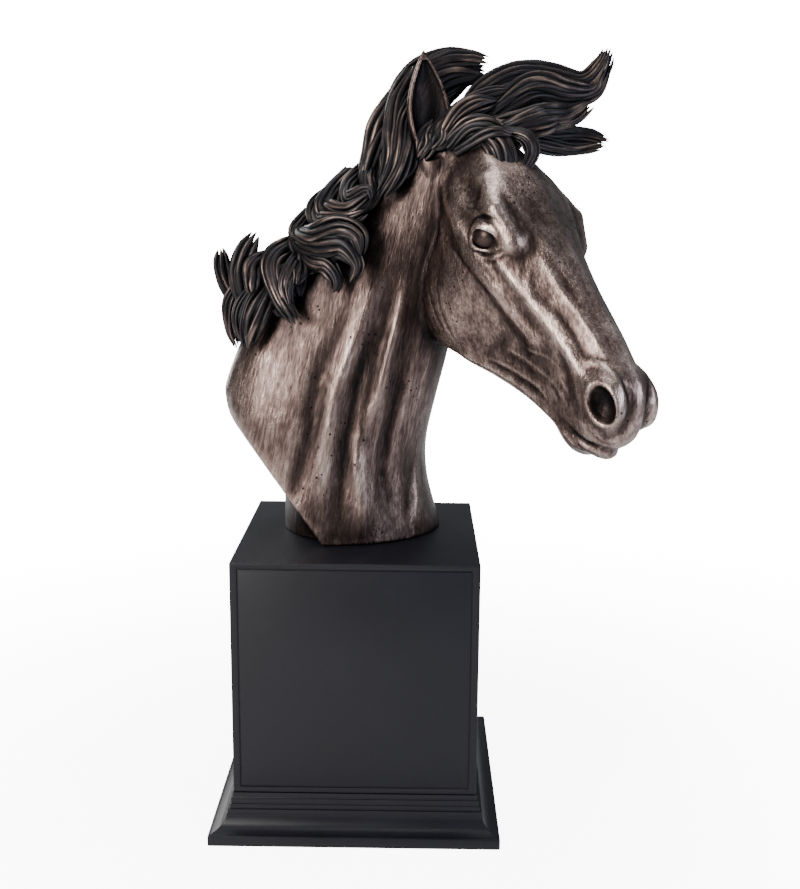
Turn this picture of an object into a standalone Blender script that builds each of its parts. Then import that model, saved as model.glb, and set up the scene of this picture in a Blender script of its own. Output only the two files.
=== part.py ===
"""Horse head bust with a blown mane, cast in one piece, on a square moulded plinth.

The bust stands on the plinth box and the box on a moulded base. The horse faces +X with its
head turned toward -Y, and +Z is up. The origin is the centre of the underside of the base.
"""
import bpy
import bmesh
import numpy as np
from math import radians, sin, cos
from itertools import permutations

# Sizes in metres, angles in degrees.
baseWidth = 0.227          # square base moulding, across its slab
slabHeight = 0.0090        # the slab at the foot of the moulding
slabRound = 0.0012         # rounding of the slab's edges
mouldHeight = 0.0364       # the whole base moulding
boxWidth = 0.190           # square box of the plinth
boxHeight = 0.1870
boxRound = 0.0008          # softened edges of the box
panelInset = 0.0055        # line of the front panel, from the box's side edges
panelTopInset = 0.0042     # the same from the box's top
panelFootInset = 0.0045    # and from its foot
panelLine = 0.0012         # width of the panel line
panelDepth = 0.0010
fitGap = 0.0003            # clearance between separate pieces
headLength = 0.285         # poll to lips
headTurn = -54.0           # away from the neck's own direction, toward -Y
headNod = -42.0            # the nose drops below level
headTilt = -6.0
earLength = 0.090
eyeSize = 0.0131           # radius of the eyeball
bustCell = 0.0031          # grain of the sculpted surface
bustTriangles = 8300

# The free form is drawn in thousandths of a metre at a head length of 285, then scaled.
drawnHead = 285.0
bustScale = headLength * 1000.0 / drawnHead
unit = 0.001 * bustScale
footZ = mouldHeight + fitGap + boxHeight + fitGap
f4 = np.float32


def headAxes(turn, nod, tilt):
    """Unit vectors of the head as columns: forward along the nose, to its left, out of its brow."""
    a, b, c = radians(turn), radians(nod), radians(tilt)
    ahead = np.array([cos(a) * cos(b), sin(a) * cos(b), sin(b)])
    left = np.array([-sin(a), cos(a), 0.0])
    brow = np.cross(ahead, left)
    return np.stack([ahead, left * cos(c) + brow * sin(c), brow * cos(c) - left * sin(c)], 1)


def merge(a, b, k):
    """The union of two distance fields, filleted over k."""
    h = np.clip(0.5 + 0.5 * (b - a) / k, 0, 1)
    return b + (a - b) * h - k * h * (1 - h)


def carve(a, b, k):
    """What is in a and not in b, with edges softened over k."""
    return -merge(-a, b, k)


def ellipsoid(p, centre, radii, axes=None):
    q = p - np.asarray(centre, f4)
    if axes is not None:
        q = q @ np.asarray(axes, f4)
    r = np.asarray(radii, f4)
    k0 = np.sqrt(((q / r) ** 2).sum(1))
    return k0 * (k0 - 1) / (np.sqrt(((q / (r * r)) ** 2).sum(1)) + 1e-6)


def rod(p, a, b, ra, rb):
    """A round bar from a to b whose radius runs from ra to rb."""
    a, b = np.asarray(a, f4), np.asarray(b, f4)
    d = b - a
    t = np.clip(((p - a) @ d) / (d @ d), 0, 1)
    return np.sqrt(((p - a - t[:, None] * d) ** 2).sum(1)) - (ra + (rb - ra) * t)


def bent(p, points, ra, rb):
    """A bar that follows several points."""
    radii = np.linspace(ra, rb, len(points))
    out = np.full(len(p), 1e3, f4)
    for i in range(len(points) - 1):
        out = np.minimum(out, rod(p, points[i], points[i + 1], radii[i], radii[i + 1]))
    return out


def through(points, count):
    """A smooth curve through the points, as count samples."""
    p = np.asarray(points, float)
    q = np.vstack([2 * p[0] - p[1], p, 2 * p[-1] - p[-2]])
    t = np.linspace(0, len(p) - 1, count)
    i = np.minimum(t.astype(int), len(p) - 2)
    f = (t - i)[:, None]
    a, b, c, d = q[i], q[i + 1], q[i + 2], q[i + 3]
    square, cube = 2 * a - 5 * b + 4 * c - d, 3 * b - a - 3 * c + d
    return 0.5 * (2 * b + (c - a) * f + square * f ** 2 + cube * f ** 3)


def table(xs, ys, x):
    """Reads a table smoothly between its stations."""
    xs, ys = np.asarray(xs, float), np.asarray(ys, float)
    slope = np.gradient(ys, xs)
    i = np.clip(np.searchsorted(xs, x) - 1, 0, len(xs) - 2)
    h = xs[i + 1] - xs[i]
    t = np.clip((x - xs[i]) / h, 0, 1)
    ends = (1 + 2 * t) * (1 - t) ** 2 * ys[i] + t * t * (3 - 2 * t) * ys[i + 1]
    return (ends + h * (t * (1 - t) ** 2 * slope[i] + t * t * (t - 1) * slope[i + 1])).astype(f4)


# Sections of the head, as shares of its length from the poll (0) to the lips (1).
# Each section is a half outline: brow plane, eye and cheekbone level, cheek, jaw edge, underside.
station = [-.06, .00, .10, .20, .29, .38, .47, .57, .68, .79, .88, .95]
midTop = [-.030, -.010, .010, .018, .016, .006, -.008, -.020, -.030, -.042, -.062, -.095]
browWide = [.045, .055, .080, .105, .115, .095, .072, .060, .054, .050, .045, .038]
browHigh = [-.050, -.035, -.016, -.008, -.010, -.018, -.028, -.038, -.050, -.064, -.085, -.115]
boneWide = [.075, .090, .120, .145, .160, .160, .142, .120, .102, .090, .083, .070]
boneHigh = [-.100, -.100, -.100, -.095, -.095, -.110, -.120, -.125, -.130, -.135, -.145, -.165]
cheekWide = [.080, .095, .120, .140, .148, .142, .120, .096, .080, .076, .078, .068]
cheekHigh = [-.140, -.150, -.170, -.210, -.235, -.250, -.250, -.240, -.225, -.215, -.210, -.200]
jawWide = [.050, .055, .075, .100, .112, .110, .094, .074, .060, .055, .054, .045]
jawHigh = [-.170, -.180, -.210, -.290, -.380, -.430, -.415, -.372, -.330, -.302, -.285, -.255]
midFoot = [-.190, -.200, -.240, -.330, -.420, -.460, -.435, -.388, -.345, -.318, -.300, -.270]
sectionRound = 0.022


def headSections(p):
    x, y, z = p[:, 0], np.abs(p[:, 1]), p[:, 2]
    r = sectionRound
    row = [table(station, v, x) for v in (midTop, browWide, browHigh, boneWide, boneHigh, cheekWide,
                                          cheekHigh, jawWide, jawHigh, midFoot)]
    zero = np.zeros_like(x)
    corner = [(zero, row[0] - r), (row[1] - r, row[2] - r * .6), (row[3] - r, row[4]), (row[5] - r, row[6]),
              (row[7] - r, row[8] + r * .6), (zero, row[9] + r)]
    near = np.full(len(x), 9.0, f4)
    wide = np.full(len(x), -1.0, f4)
    for (ay, az), (by, bz) in zip(corner[:-1], corner[1:]):
        ey, ez = by - ay, bz - az
        t = np.clip(((y - ay) * ey + (z - az) * ez) / (ey * ey + ez * ez + 1e-12), 0, 1)
        near = np.minimum(near, np.hypot(y - ay - t * ey, z - az - t * ez))
        wide = np.where((z <= az) & (z > bz), ay + ey * (az - z) / np.maximum(az - bz, 1e-6), wide)
    side = np.where(y < wide, -near, near) - r
    return -merge(-side, -np.maximum(x - .93, -.03 - x), .06)


def headForm(p):
    """The head alone, in shares of its length; the two sides mirror one another."""
    q = p.copy()
    q[:, 1] = np.abs(q[:, 1])
    f = headSections(p)
    f = merge(f, ellipsoid(q, (.322, .072, -.282), (.165, .084, .195)), .02)      # cheek muscle
    f = merge(f, ellipsoid(p, (.20, 0, -.075), (.19, .112, .092)), .03)           # forehead
    # brow bone, cheekbone arch and the crest below the eye
    f = merge(f, bent(q, ((.225, .104, -.048), (.318, .146, -.036), (.400, .122, -.060)), .025, .021), .05)
    f = merge(f, bent(q, ((.10, .110, -.135), (.26, .146, -.150), (.46, .130, -.172), (.62, .088, -.182)),
                      .020, .012), .035)
    f = carve(f, ellipsoid(q, (.205, .160, -.060), (.038, .020, .020)), .04)      # hollow above the eye
    f = carve(f, ellipsoid(q, (.355, .180, -.098), (.060, .032, .040)), .02)      # eye socket
    r = eyeSize / headLength
    f = merge(f, ellipsoid(q, (.352, .124, -.100), (r, r, r)), .004)
    upper = through(((.290, .142, -.138), (.303, .160, -.104), (.338, .170, -.073), (.380, .160, -.063),
                     (.412, .142, -.066)), 9)
    lower = through(((.290, .142, -.138), (.325, .158, -.141), (.368, .158, -.122), (.398, .148, -.092),
                     (.412, .142, -.066)), 9)
    f = merge(f, bent(q, upper, .0068, .0068), .006)
    f = merge(f, bent(q, lower, .0055, .0055), .006)
    # muzzle, nostril wings, lower lip and chin
    f = merge(f, ellipsoid(p, (.874, 0, -.180), (.082, .066, .080)), .03)
    f = merge(f, ellipsoid(q, (.850, .054, -.130), (.064, .040, .056)), .03)
    f = merge(f, ellipsoid(p, (.878, 0, -.248), (.074, .054, .038)), .018)
    f = merge(f, ellipsoid(p, (.842, 0, -.293), (.058, .048, .034)), .025)
    slant = headAxes(0, -21, 0)
    f = merge(f, ellipsoid(q, (.876, .068, -.131), (.060, .029, .043), slant), .02)
    f = carve(f, ellipsoid(q, (.886, .106, -.130), (.056, .047, .038), slant), .010)
    f = carve(f, bent(q, ((.765, .078, -.291), (.856, .066, -.262), (.935, .045, -.236), (.965, .0, -.225)),
                      .006, .007), .012)                                          # mouth
    f = carve(f, rod(p, (.25, 0, -.50), (.72, 0, -.345), .035, .016), .02)        # between the jaw bones
    return f


# The neck lies between its crest and its throat line (x, y, height above the plinth), from just below
# its foot to the poll.
poll = np.array([97.0, -10.0, 327.3])
crestLine = [(-112, -5, -40), (-116, -4, 0), (-120, 0, 66), (-112, 0, 111), (-96, 0, 156), (-70, 0, 204),
             (-33, -1, 251), (8, -3, 291), (50, -6, 321), (88, -9, 334), (120, -12, 334)]
throatLine = [(74, 30, -40), (66, 26, 0), (55, 20, 44), (54, 15, 76), (61, 10, 111), (69, 7, 144),
              (75, 5, 174), (78, 4, 201), (81, 2, 228), (92, 0, 251), (112, -4, 276)]
neckHalf = [64, 60, 54, 49, 44, 40, 36, 34, 32, 31, 30]
crestThin = 0.22           # how much slimmer the crest is than the throat
neckSteps = 101
cutPoint, cutWay = np.array([-42.0, -20.0, 10.0]), np.array([-.80, -.20, -.56])
stubCentre, stubRadius = (-2.0, 21.0), 62.0


def neckChart(step=2.0, low=(-200.0, -30.0), high=(300.0, 460.0)):
    """For each place in the side view: how far up the neck it lies, and how far from throat to crest."""
    crest, throat = through(crestLine, neckSteps), through(throatLine, neckSteps)
    half = through([(v, 0) for v in neckHalf], neckSteps)[:, 0]
    gx, gz = np.meshgrid(np.arange(low[0], high[0], step), np.arange(low[1], high[1], step), indexing="ij")
    best, up, over = np.full(gx.shape, 1e9), np.zeros(gx.shape), np.zeros(gx.shape)
    side = []
    for k in range(neckSteps):
        dx, dz = crest[k, 0] - throat[k, 0], crest[k, 2] - throat[k, 2]
        side.append(((gx - throat[k, 0]) * dz - (gz - throat[k, 2]) * dx) / np.hypot(dx, dz))
    for k in range(neckSteps - 1):
        a, b = side[k], side[k + 1]
        f = np.where(a * b <= 0, a / (a - b + 1e-12), 0)
        tx = throat[k, 0] + f * (throat[k + 1, 0] - throat[k, 0])
        tz = throat[k, 2] + f * (throat[k + 1, 2] - throat[k, 2])
        cx = crest[k, 0] + f * (crest[k + 1, 0] - crest[k, 0]) - tx
        cz = crest[k, 2] + f * (crest[k + 1, 2] - crest[k, 2]) - tz
        u = ((gx - tx) * cx + (gz - tz) * cz) / (cx * cx + cz * cz) * 2 - 1
        hit = (a * b <= 0) & (np.abs(u) < best)
        best, up, over = np.where(hit, np.abs(u), best), np.where(hit, k + f, up), np.where(hit, u, over)
    return dict(low=low, step=step, up=up, over=over, known=(best < 1e8).astype(float),
                crest=crest, throat=throat, half=half)


def read(chart, name, p):
    grid = chart[name]
    fx, fz = (p[:, 0] - chart["low"][0]) / chart["step"], (p[:, 2] - chart["low"][1]) / chart["step"]
    i, j = np.clip(fx.astype(int), 0, grid.shape[0] - 2), np.clip(fz.astype(int), 0, grid.shape[1] - 2)
    a, b = np.clip(fx - i, 0, 1), np.clip(fz - j, 0, 1)
    low = grid[i, j] * (1 - a) + grid[i + 1, j] * a
    return low * (1 - b) + (grid[i, j + 1] * (1 - a) + grid[i + 1, j + 1] * a) * b


def neckForm(p, chart):
    up, over = read(chart, "up", p), np.clip(read(chart, "over", p), -3, 3)
    i = np.clip(up.astype(int), 0, neckSteps - 2)
    f = up - i
    crest, throat, half = chart["crest"], chart["throat"], chart["half"]
    wide = half[i] * (1 - f) + half[i + 1] * f
    deep = 0.5 * np.hypot(crest[i, 0] - throat[i, 0], crest[i, 2] - throat[i, 2])
    share = 0.5 + 0.5 * np.clip(over, -1, 1)
    middle = (crest[i, 1] * (1 - f) + crest[i + 1, 1] * f) * share
    middle += (throat[i, 1] * (1 - f) + throat[i + 1, 1] * f) * (1 - share)
    wide = wide * (1 - crestThin * np.clip(over, -1, 1))
    field = (np.sqrt(((p[:, 1] - middle) / wide) ** 2 + over ** 2) - 1) * np.minimum(wide, deep)
    return np.where(read(chart, "known", p) > .99, field, 60.0).astype(f4)


def neckSkin(chart, up, over, side, lift):
    """A point on the neck: up 0 to 1 from foot to poll, over -1 at the throat to 1 at the crest."""
    i = min(int(up * (neckSteps - 1)), neckSteps - 1)
    crest, throat = chart["crest"][i], chart["throat"][i]
    at = throat + (crest - throat) * (over + 1) / 2
    wide = chart["half"][i] * (1 - crestThin * over)
    at[1] += side * (wide * np.sqrt(max(1 - over * over, 0)) + lift)
    return at


# Folds of the neck muscles, as seen from the side: how far each stands out (+) or lies in (-), its half
# width, and its line (x, height above the plinth). The far side carries them more softly.
neckFolds = {
    "shoulder hollow": (-3.0, 8, ((-4, 186), (-17, 159), (-28, 137), (-33, 115), (-36, 92), (-41, 70),
                                  (-49, 44), (-54, 28))),
    "shoulder plane": (1.4, 14, ((-62, 170), (-74, 140), (-78, 105), (-72, 75))),
    "strap muscle": (3.2, 8, ((16, 212), (4, 178), (-6, 150), (-16, 125), (-21, 100), (-27, 68), (-32, 38))),
    "deep groove": (-4.2, 8, ((24, 212), (12, 168), (1, 137), (-6, 106), (-11, 75), (-15, 40), (-15, 2))),
    "fine strap": (2.8, 4.5, ((38, 214), (32, 184), (26, 162), (21, 140), (15, 116), (6, 92))),
    "throat groove": (-2.8, 6, ((49, 200), (38, 159), (32, 131), (26, 105), (20, 78), (18, 54),
                                (21, 28), (25, 4))),
    "foot flame": (3.0, 7, ((-3, 92), (0, 62), (4, 36), (3, 6))),
    "wedge groove": (-1.4, 4.5, ((28, 203), (21, 170), (15, 147), (9, 118), (2, 92))),
    "chest edge": (1.8, 4, ((48, 66), (48, 40), (48, 12))),
    "chest hollow": (-1.6, 5, ((41, 76), (40, 42), (39, 12))),
}
foldsFar = 0.55


def foldsOf(p):
    out = np.zeros(len(p), f4)
    for high, wide, points in neckFolds.values():
        line = through(points, 3 * len(points))
        near, at = np.full(len(p), 1e3), np.zeros(len(p))
        for i in range(len(line) - 1):
            d = line[i + 1] - line[i]
            t = np.clip(((p[:, [0, 2]] - line[i]) @ d) / (d @ d), 0, 1)
            away = np.hypot(p[:, 0] - line[i, 0] - t * d[0], p[:, 2] - line[i, 1] - t * d[1])
            at = np.where(away < near, (i + t) / (len(line) - 1), at)
            near = np.minimum(near, away)
        ends = np.clip(np.minimum(at, 1 - at) * 3.2 + .08, 0, 1)
        out += high * ends * np.exp(-(near / wide) ** 2)
    return out * np.where(p[:, 1] < 2, 1, foldsFar) * np.clip(np.abs(p[:, 1] + 2) / 16, 0, 1)


# The near ear stands up with its cup to the front; the far one lies back behind the forelock.
ears = {
    "near": dict(foot=(57, -22, 288), way=(-.10, .07, .99), face=(.30, -.95, .10)),
    "far": dict(foot=(112, 8, 306), way=(.50, .47, .73), face=(.75, -.5, -.2)),
}
earStation = [-.2, 0, .15, .35, .55, .75, .9, 1.02]
earWide = [4.5, 9.4, 11.2, 16.2, 17.0, 12.6, 6.5, .5]
earDeep = [4.5, 9.9, 9.4, 9.0, 7.6, 5.4, 3.2, .3]
earWall = 3.0


def earForm(p, ear):
    size = earLength * 1000.0 / bustScale
    way = np.asarray(ear["way"], f4) / np.linalg.norm(ear["way"])
    face = np.asarray(ear["face"], f4)
    face = face - way * (face @ way)
    face /= np.linalg.norm(face)
    q = p - np.asarray(ear["foot"], f4)
    t, u, v = (q @ way) / size, q @ np.cross(way, face).astype(f4), q @ face
    at = np.clip(t, -.2, 1.02)
    wide, deep = table(earStation, earWide, at), table(earStation, earDeep, at)
    outer = (np.sqrt((u / wide) ** 2 + (v / deep) ** 2) - 1) * np.minimum(wide, deep)
    outer = np.maximum(outer, np.maximum(t - 1.02, -.2 - t) * size)
    thin = np.maximum(wide - earWall, .5)
    cup = (np.sqrt((u / thin) ** 2 + ((v - deep * .62) / (deep * 1.05)) ** 2) - 1) * np.minimum(thin, deep)
    cup = np.maximum(cup, np.maximum(t - .93, .10 - t) * size)
    return carve(outer, cup, 1.2)


# Locks of the mane and forelock: middle line (x, y, height above the plinth), half width, strands.
clumps = {
    "crestHigh": (((37, 0, 306), (31, 2, 333), (44, 4, 359), (66, 6, 373), (84, 6, 374),
                   (98, 6, 371)), 12, 4),
    "crestLow": (((40, -6, 299), (40, -4, 325), (52, 0, 348), (70, 4, 361), (87, 6, 364),
                  (98, 6, 363)), 10, 3),
    "crestBack": (((62, 6, 314), (60, 10, 341), (71, 12, 358), (80, 12, 370), (88, 12, 380)), 9, 3),
    "fallFront": (((41, 4, 365), (30, -6, 343), (26, -16, 319), (24, -28, 298), (16, -38, 276)), 9, 3),
    "fallMid": (((49, -2, 351), (38, -14, 328), (33, -28, 305), (27, -36, 286), (16, -40, 268)), 8, 3),
    "fallBack": (((33, 8, 355), (21, 2, 327), (12, -6, 303), (0, -16, 279)), 11, 3),
    "tierTop": (((-7, 4, 289), (-20, -8, 275), (-26, -22, 262), (-8, -38, 259), (10, -46, 273)), 8, 3),
    "tierIn": (((4, -2, 292), (-7, -16, 279), (-7, -32, 268), (6, -42, 274), (11, -47, 268)), 7, 3),
    "tierLow": (((-19, 2, 275), (-34, -10, 262), (-30, -26, 251), (-9, -40, 253), (8, -46, 262)), 7, 3),
    "fanTop": (((-39, 4, 257), (-48, -10, 243), (-36, -28, 239), (-15, -42, 246), (0, -49, 241),
                (3, -51, 227)), 9, 3),
    "fanMid": (((-43, 2, 249), (-48, -16, 234), (-31, -34, 230), (-12, -46, 233), (-1, -51, 220),
                (-8, -49, 207)), 9, 3),
    "fanLow": (((-46, -6, 234), (-38, -28, 224), (-24, -40, 220), (-17, -45, 209), (-18, -45, 198)), 7, 3),
    "sweepTop": (((-41, 0, 237), (-58, -10, 228), (-66, -24, 216), (-60, -38, 193), (-46, -45, 174)), 9, 3),
    "sweepLow": (((-44, -10, 228), (-50, -26, 218), (-55, -37, 203), (-52, -43, 188)), 7, 3),
    "sweepTuft": (((-48, -18, 225), (-45, -31, 214), (-49, -39, 203)), 5, 2),
    "flickHigh": (((-91, -6, 188), (-95, -8, 209), (-91, -6, 226), (-80, -4, 244)), 7, 2),
    "flickBack": (((-98, 2, 184), (-106, 2, 201), (-110, 2, 216), (-112, 2, 230)), 6, 2),
    "leafTuft": (((-69, -8, 224), (-81, -18, 217), (-83, -26, 207), (-81, -31, 196)), 6, 2),
    "hangOuter": (((-78, 2, 216), (-95, 0, 199), (-103, 0, 184), (-104, 2, 165), (-99, 2, 149)), 6, 3),
    "hangMid": (((-74, -10, 209), (-88, -16, 192), (-93, -19, 173), (-91, -17, 152)), 6, 3),
    "hangInner": (((-66, -22, 205), (-75, -31, 187), (-81, -33, 169), (-86, -30, 153)), 6, 2),
    "foreHigh": (((81, -8, 330), (95, -4, 345), (120, 2, 358), (145, 8, 361), (171, 8, 357),
                  (187, 8, 371), (194, 6, 381)), 11, 4),
    "foreMid": (((89, -14, 321), (110, -14, 336), (133, -8, 351), (159, -2, 349), (180, 4, 352),
                 (191, 4, 369)), 11, 4),
    "foreRoll": (((95, -20, 316), (117, -24, 322), (139, -24, 330), (162, -12, 331), (179, -1, 343)), 10, 3),
    "pollHigh": (((58, -30, 300), (64, -29, 315), (74, -25, 327), (88, -22, 337), (106, -16, 343)), 8, 3),
    "pollLow": (((62, -32, 295), (70, -34, 306), (80, -35, 314), (95, -38, 318), (108, -40, 316)), 8, 3),
    "pollFront": (((65, -34, 293), (74, -38, 301), (86, -44, 307), (100, -46, 313), (114, -42, 314)), 5, 2),
    "pollTop": (((60, -22, 316), (76, -16, 335), (96, -12, 346), (120, -10, 350)), 7, 3),
    "foreUnder": (((99, -22, 315), (120, -28, 321), (139, -26, 328), (153, -18, 334)), 9, 3),
    "tailHigh": (((123, -4, 319), (149, 6, 319), (173, 12, 318), (195, 12, 313)), 8, 3),
    "tailLow": (((124, -8, 313), (147, 2, 310), (170, 8, 308), (190, 10, 310)), 6, 3),
    "curlNear": (((89, -30, 322), (102, -40, 317), (110, -47, 304), (113, -51, 289),
                  (119, -51, 279)), 6, 3),
    "curlFar": (((107, -32, 320), (124, -40, 314), (129, -43, 303), (124, -47, 291),
                 (120, -49, 283)), 5, 3),
    "curlTuft": (((91, -32, 313), (103, -42, 305), (112, -48, 296)), 4, 2),
}


def lockPaths(points, wide, strands, draw, count=13):
    """The strands of one lock, side by side: each a line of points and its radius along the line."""
    line, t = through(points, count), np.linspace(0, 1, count)
    along = np.gradient(line, axis=0)
    along /= np.linalg.norm(along, axis=1, keepdims=True)
    out = np.array([0, -1.0, 0]) - along * (along @ np.array([0, -1.0, 0]))[:, None]
    out /= np.linalg.norm(out, axis=1, keepdims=True)
    across = np.cross(along, out)
    made = []
    for j in range(strands):
        o = (j - (strands - 1) / 2) / max(strands / 2, 1)
        phase, reach = draw.uniform(0, 6.28), draw.uniform(.88, 1.0) if abs(o) > .3 else 1.0
        fan = .62 + .45 * np.sin(np.pi * t * .95) - .25 * t
        at = np.stack([np.interp(t * reach, t, line[:, a]) for a in range(3)], 1)
        sideways = o * wide * fan + wide * .10 * np.sin(phase + t * 7)
        lift = wide * .22 * (1 - abs(o)) + wide * .12 * np.sin(phase * 1.7 + t * 6)
        at = at + across * sideways[:, None] + out * lift[:, None]
        taper = (.75 + .3 * np.sin(np.pi * t)) * np.clip((1 - t) / .30, .14, 1) ** .75
        radius = wide / strands * 1.12 * taper
        made.append((at, radius))
    return made


# Plainer locks rooted along the crest: those of the near side lie under the big locks, the others
# fall down the far side. Each row: first and last place up the neck, how many, side, length, half width.
rootRows = [(.52, .86, 10, -1, .62, 8), (.49, .95, 12, 1, .95, 9), (.54, .86, 8, 0, .30, 8)]


def rootLocks(chart, draw):
    made = []
    for first, last, count, side, length, wide in rootRows:
        for i in range(count):
            up = first + (last - first) * i / (count - 1)
            fall = [(0, .98, 3), (.35, .84, 5), (.7, .62, 5), (1, .45, 3)]
            points = []
            for share, over, lift in fall:
                over = .98 - (.98 - over) * length if side else .97 - .1 * share
                drop = up - (.077 if side else .144) * share * length - .01 * share * draw.uniform(-1, 1)
                rise = lift if side else 5 + 3 * share
                points.append(neckSkin(chart, max(drop, .02), over, side or -.4, rise))
            made += lockPaths(points, wide, 2, draw)
    return made


def hairForm(p, strands, k):
    f = np.full(len(p), 30.0, f4)
    for line, radius in strands:
        reach = radius.max() + 9
        m = np.flatnonzero(((p > line.min(0) - reach) & (p < line.max(0) + reach)).all(1))
        if len(m):
            q, near = p[m], np.full(len(m), 30.0, f4)
            for i in range(len(line) - 1):
                near = np.minimum(near, rod(q, line[i], line[i + 1], radius[i], radius[i + 1]))
            f[m] = merge(f[m], near, k)
    return f


def bustForm(p, chart, strands):
    """The whole cast bust; negative inside. The cut below the withers leaves a plain foot under it."""
    p = p.astype(f4)
    neck = neckForm(p, chart)
    near = neck < 12
    neck[near] -= foldsOf(p[near])
    way = cutWay / np.linalg.norm(cutWay)
    soft = (1.5 + 13 * np.clip((p[:, 2] - 60) / 50, 0, 1)).astype(f4)      # the withers' corner is rounded
    trimmed = -merge(-neck, -((p - cutPoint) @ way).astype(f4), soft)
    foot = np.maximum(np.hypot(p[:, 0] - stubCentre[0], p[:, 1] - stubCentre[1]) - stubRadius, neck + 4)
    f = np.minimum(trimmed, np.maximum(foot, p[:, 2] - 60))
    head = headForm(((p - poll) / drawnHead @ headAxes(headTurn, headNod, headTilt)).astype(f4)) * drawnHead
    f = merge(f, head, 7.0)
    for ear in ears.values():
        m = np.flatnonzero((np.abs(p - np.asarray(ear["foot"], f4)) < 125).all(1))
        if len(m):
            f[m] = merge(f[m], earForm(p[m], ear), 5.0)
    f = merge(f, hairForm(p, strands, 1.5), 2.5)
    return np.maximum(f, -p[:, 2]).astype(f4)


def skinOf(f, low, step):
    """Closed triangles around f < 0, facing outwards: each grid cube is split in six tetrahedra."""
    n, flat = np.array(f.shape), f.ravel()
    stride = np.array([n[1] * n[2], n[2], 1])
    corner = [(i, j, k) for i in (0, 1) for j in (0, 1) for k in (0, 1)]
    inside = sum((f[i:n[0] - 1 + i, j:n[1] - 1 + j, k:n[2] - 1 + k] < 0).astype(np.int8)
                 for i, j, k in corner)
    base = np.argwhere((inside > 0) & (inside < 8)) @ stride
    starts, ends = [], []
    for order in permutations(range(3)):
        t = base[:, None] + np.cumsum([0] + [stride[a] for a in order])
        if order in ((0, 2, 1), (1, 0, 2), (2, 1, 0)):
            t = t[:, [0, 2, 1, 3]]
        code = (flat[t] < 0) @ np.array([1, 2, 4, 8])
        for a, b, c, d in ((0, 1, 2, 3), (1, 0, 3, 2), (2, 0, 1, 3), (3, 0, 2, 1)):
            for value, far in ((1 << a, [b, c, d]), (15 - (1 << a), [b, d, c])):
                m = t[code == value]
                starts.append(m[:, [a, a, a]])
                ends.append(m[:, far])
        for a, b, c, d in ((0, 1, 2, 3), (0, 2, 3, 1), (0, 3, 1, 2),
                           (2, 3, 0, 1), (3, 1, 0, 2), (1, 2, 0, 3)):
            m = t[code == (1 << a) + (1 << b)]
            starts += [m[:, [a, a, b]], m[:, [a, b, b]]]
            ends += [m[:, [c, d, d]], m[:, [c, d, c]]]
    starts, ends = np.concatenate(starts).ravel(), np.concatenate(ends).ravel()
    key, tri = np.unique(np.minimum(starts, ends) * flat.size + np.maximum(starts, ends), return_inverse=True)
    a, b = key // flat.size, key % flat.size
    fa, fb = flat[a].astype(float), flat[b].astype(float)
    t = np.clip(fa / (fa - fb), .05, .95)[:, None]
    pa, pb = np.stack(np.unravel_index(a, f.shape), 1), np.stack(np.unravel_index(b, f.shape), 1)
    return (pa + (pb - pa) * t) * step + low, tri.reshape(-1, 3)


def sculpt(form, low, high, step, ratio=3):
    """Samples the form on a fine grid, but only near its surface, and returns its skin."""
    low = np.asarray(low, float)
    coarse = step * ratio
    n = np.ceil((np.asarray(high) - low) / coarse).astype(int) + 1
    axes = [low[a] + coarse * np.arange(n[a]) for a in range(3)]
    f = form(np.stack(np.meshgrid(*axes, indexing="ij"), -1).reshape(-1, 3)).reshape(n)
    for a in range(3):
        where = np.arange((n[a] - 1) * ratio + 1) / ratio
        i = np.minimum(where.astype(int), n[a] - 2)
        t = (where - i).astype(f4).reshape([-1 if b == a else 1 for b in range(3)])
        f = np.take(f, i, a) * (1 - t) + np.take(f, i + 1, a) * t
    near = np.argwhere(np.abs(f) < coarse * 1.1 + step)
    p = near * step + low
    f[tuple(near.T)] = np.concatenate([form(p[k:k + 400000]) for k in range(0, len(p), 400000)])
    f[f == 0] = 1e-6
    return skinOf(f, low, step)


def newObject(name, vertices, faces, smooth):
    mesh = bpy.data.meshes.new(name)
    mesh.from_pydata([tuple(map(float, v)) for v in vertices], [], [tuple(map(int, t)) for t in faces])
    mesh.validate()
    mesh.update()
    if smooth:
        mesh.shade_smooth()
    ob = bpy.data.objects.new(name, mesh)
    bpy.context.scene.collection.objects.link(ob)
    return ob


def finish(ob, name, colour, metallic, roughness):
    material = bpy.data.materials.new(name)
    material.use_nodes = True
    shader = material.node_tree.nodes["Principled BSDF"]
    shader.inputs["Base Color"].default_value = (*colour, 1)
    shader.inputs["Metallic"].default_value = metallic
    shader.inputs["Roughness"].default_value = roughness
    ob.data.materials.clear()
    ob.data.materials.append(material)


def makeBust():
    chart = neckChart()
    draw = np.random.default_rng(7)
    strands = []
    for points, wide, count in clumps.values():
        strands += lockPaths(points, wide, count, draw)
    strands += rootLocks(chart, draw)
    cell = bustCell * 1000 / bustScale
    low, high = (-140, -190, -2 * cell), (250, 110, 412)
    vertices, faces = sculpt(lambda p: bustForm(p, chart, strands), low, high, cell)
    ob = newObject("horse_bust", vertices * unit + np.array([0, 0, footZ]), faces, True)
    keepLargest(ob)
    thin = ob.modifiers.new("lighten", "DECIMATE")
    thin.ratio = bustTriangles / len(ob.data.polygons)
    return ob


def keepLargest(ob):
    """Drops loose crumbs of the sampled surface, so that the bust is one closed skin."""
    bm = bmesh.new()
    bm.from_mesh(ob.data)
    unseen, groups = set(bm.verts), []
    while unseen:
        stack, group = [unseen.pop()], []
        while stack:
            v = stack.pop()
            group.append(v)
            for e in v.link_edges:
                w = e.other_vert(v)
                if w in unseen:
                    unseen.remove(w)
                    stack.append(w)
        groups.append(group)
    groups.sort(key=len)
    for group in groups[:-1]:
        bmesh.ops.delete(bm, geom=group, context="VERTS")
    bm.to_mesh(ob.data)
    bm.free()


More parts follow.
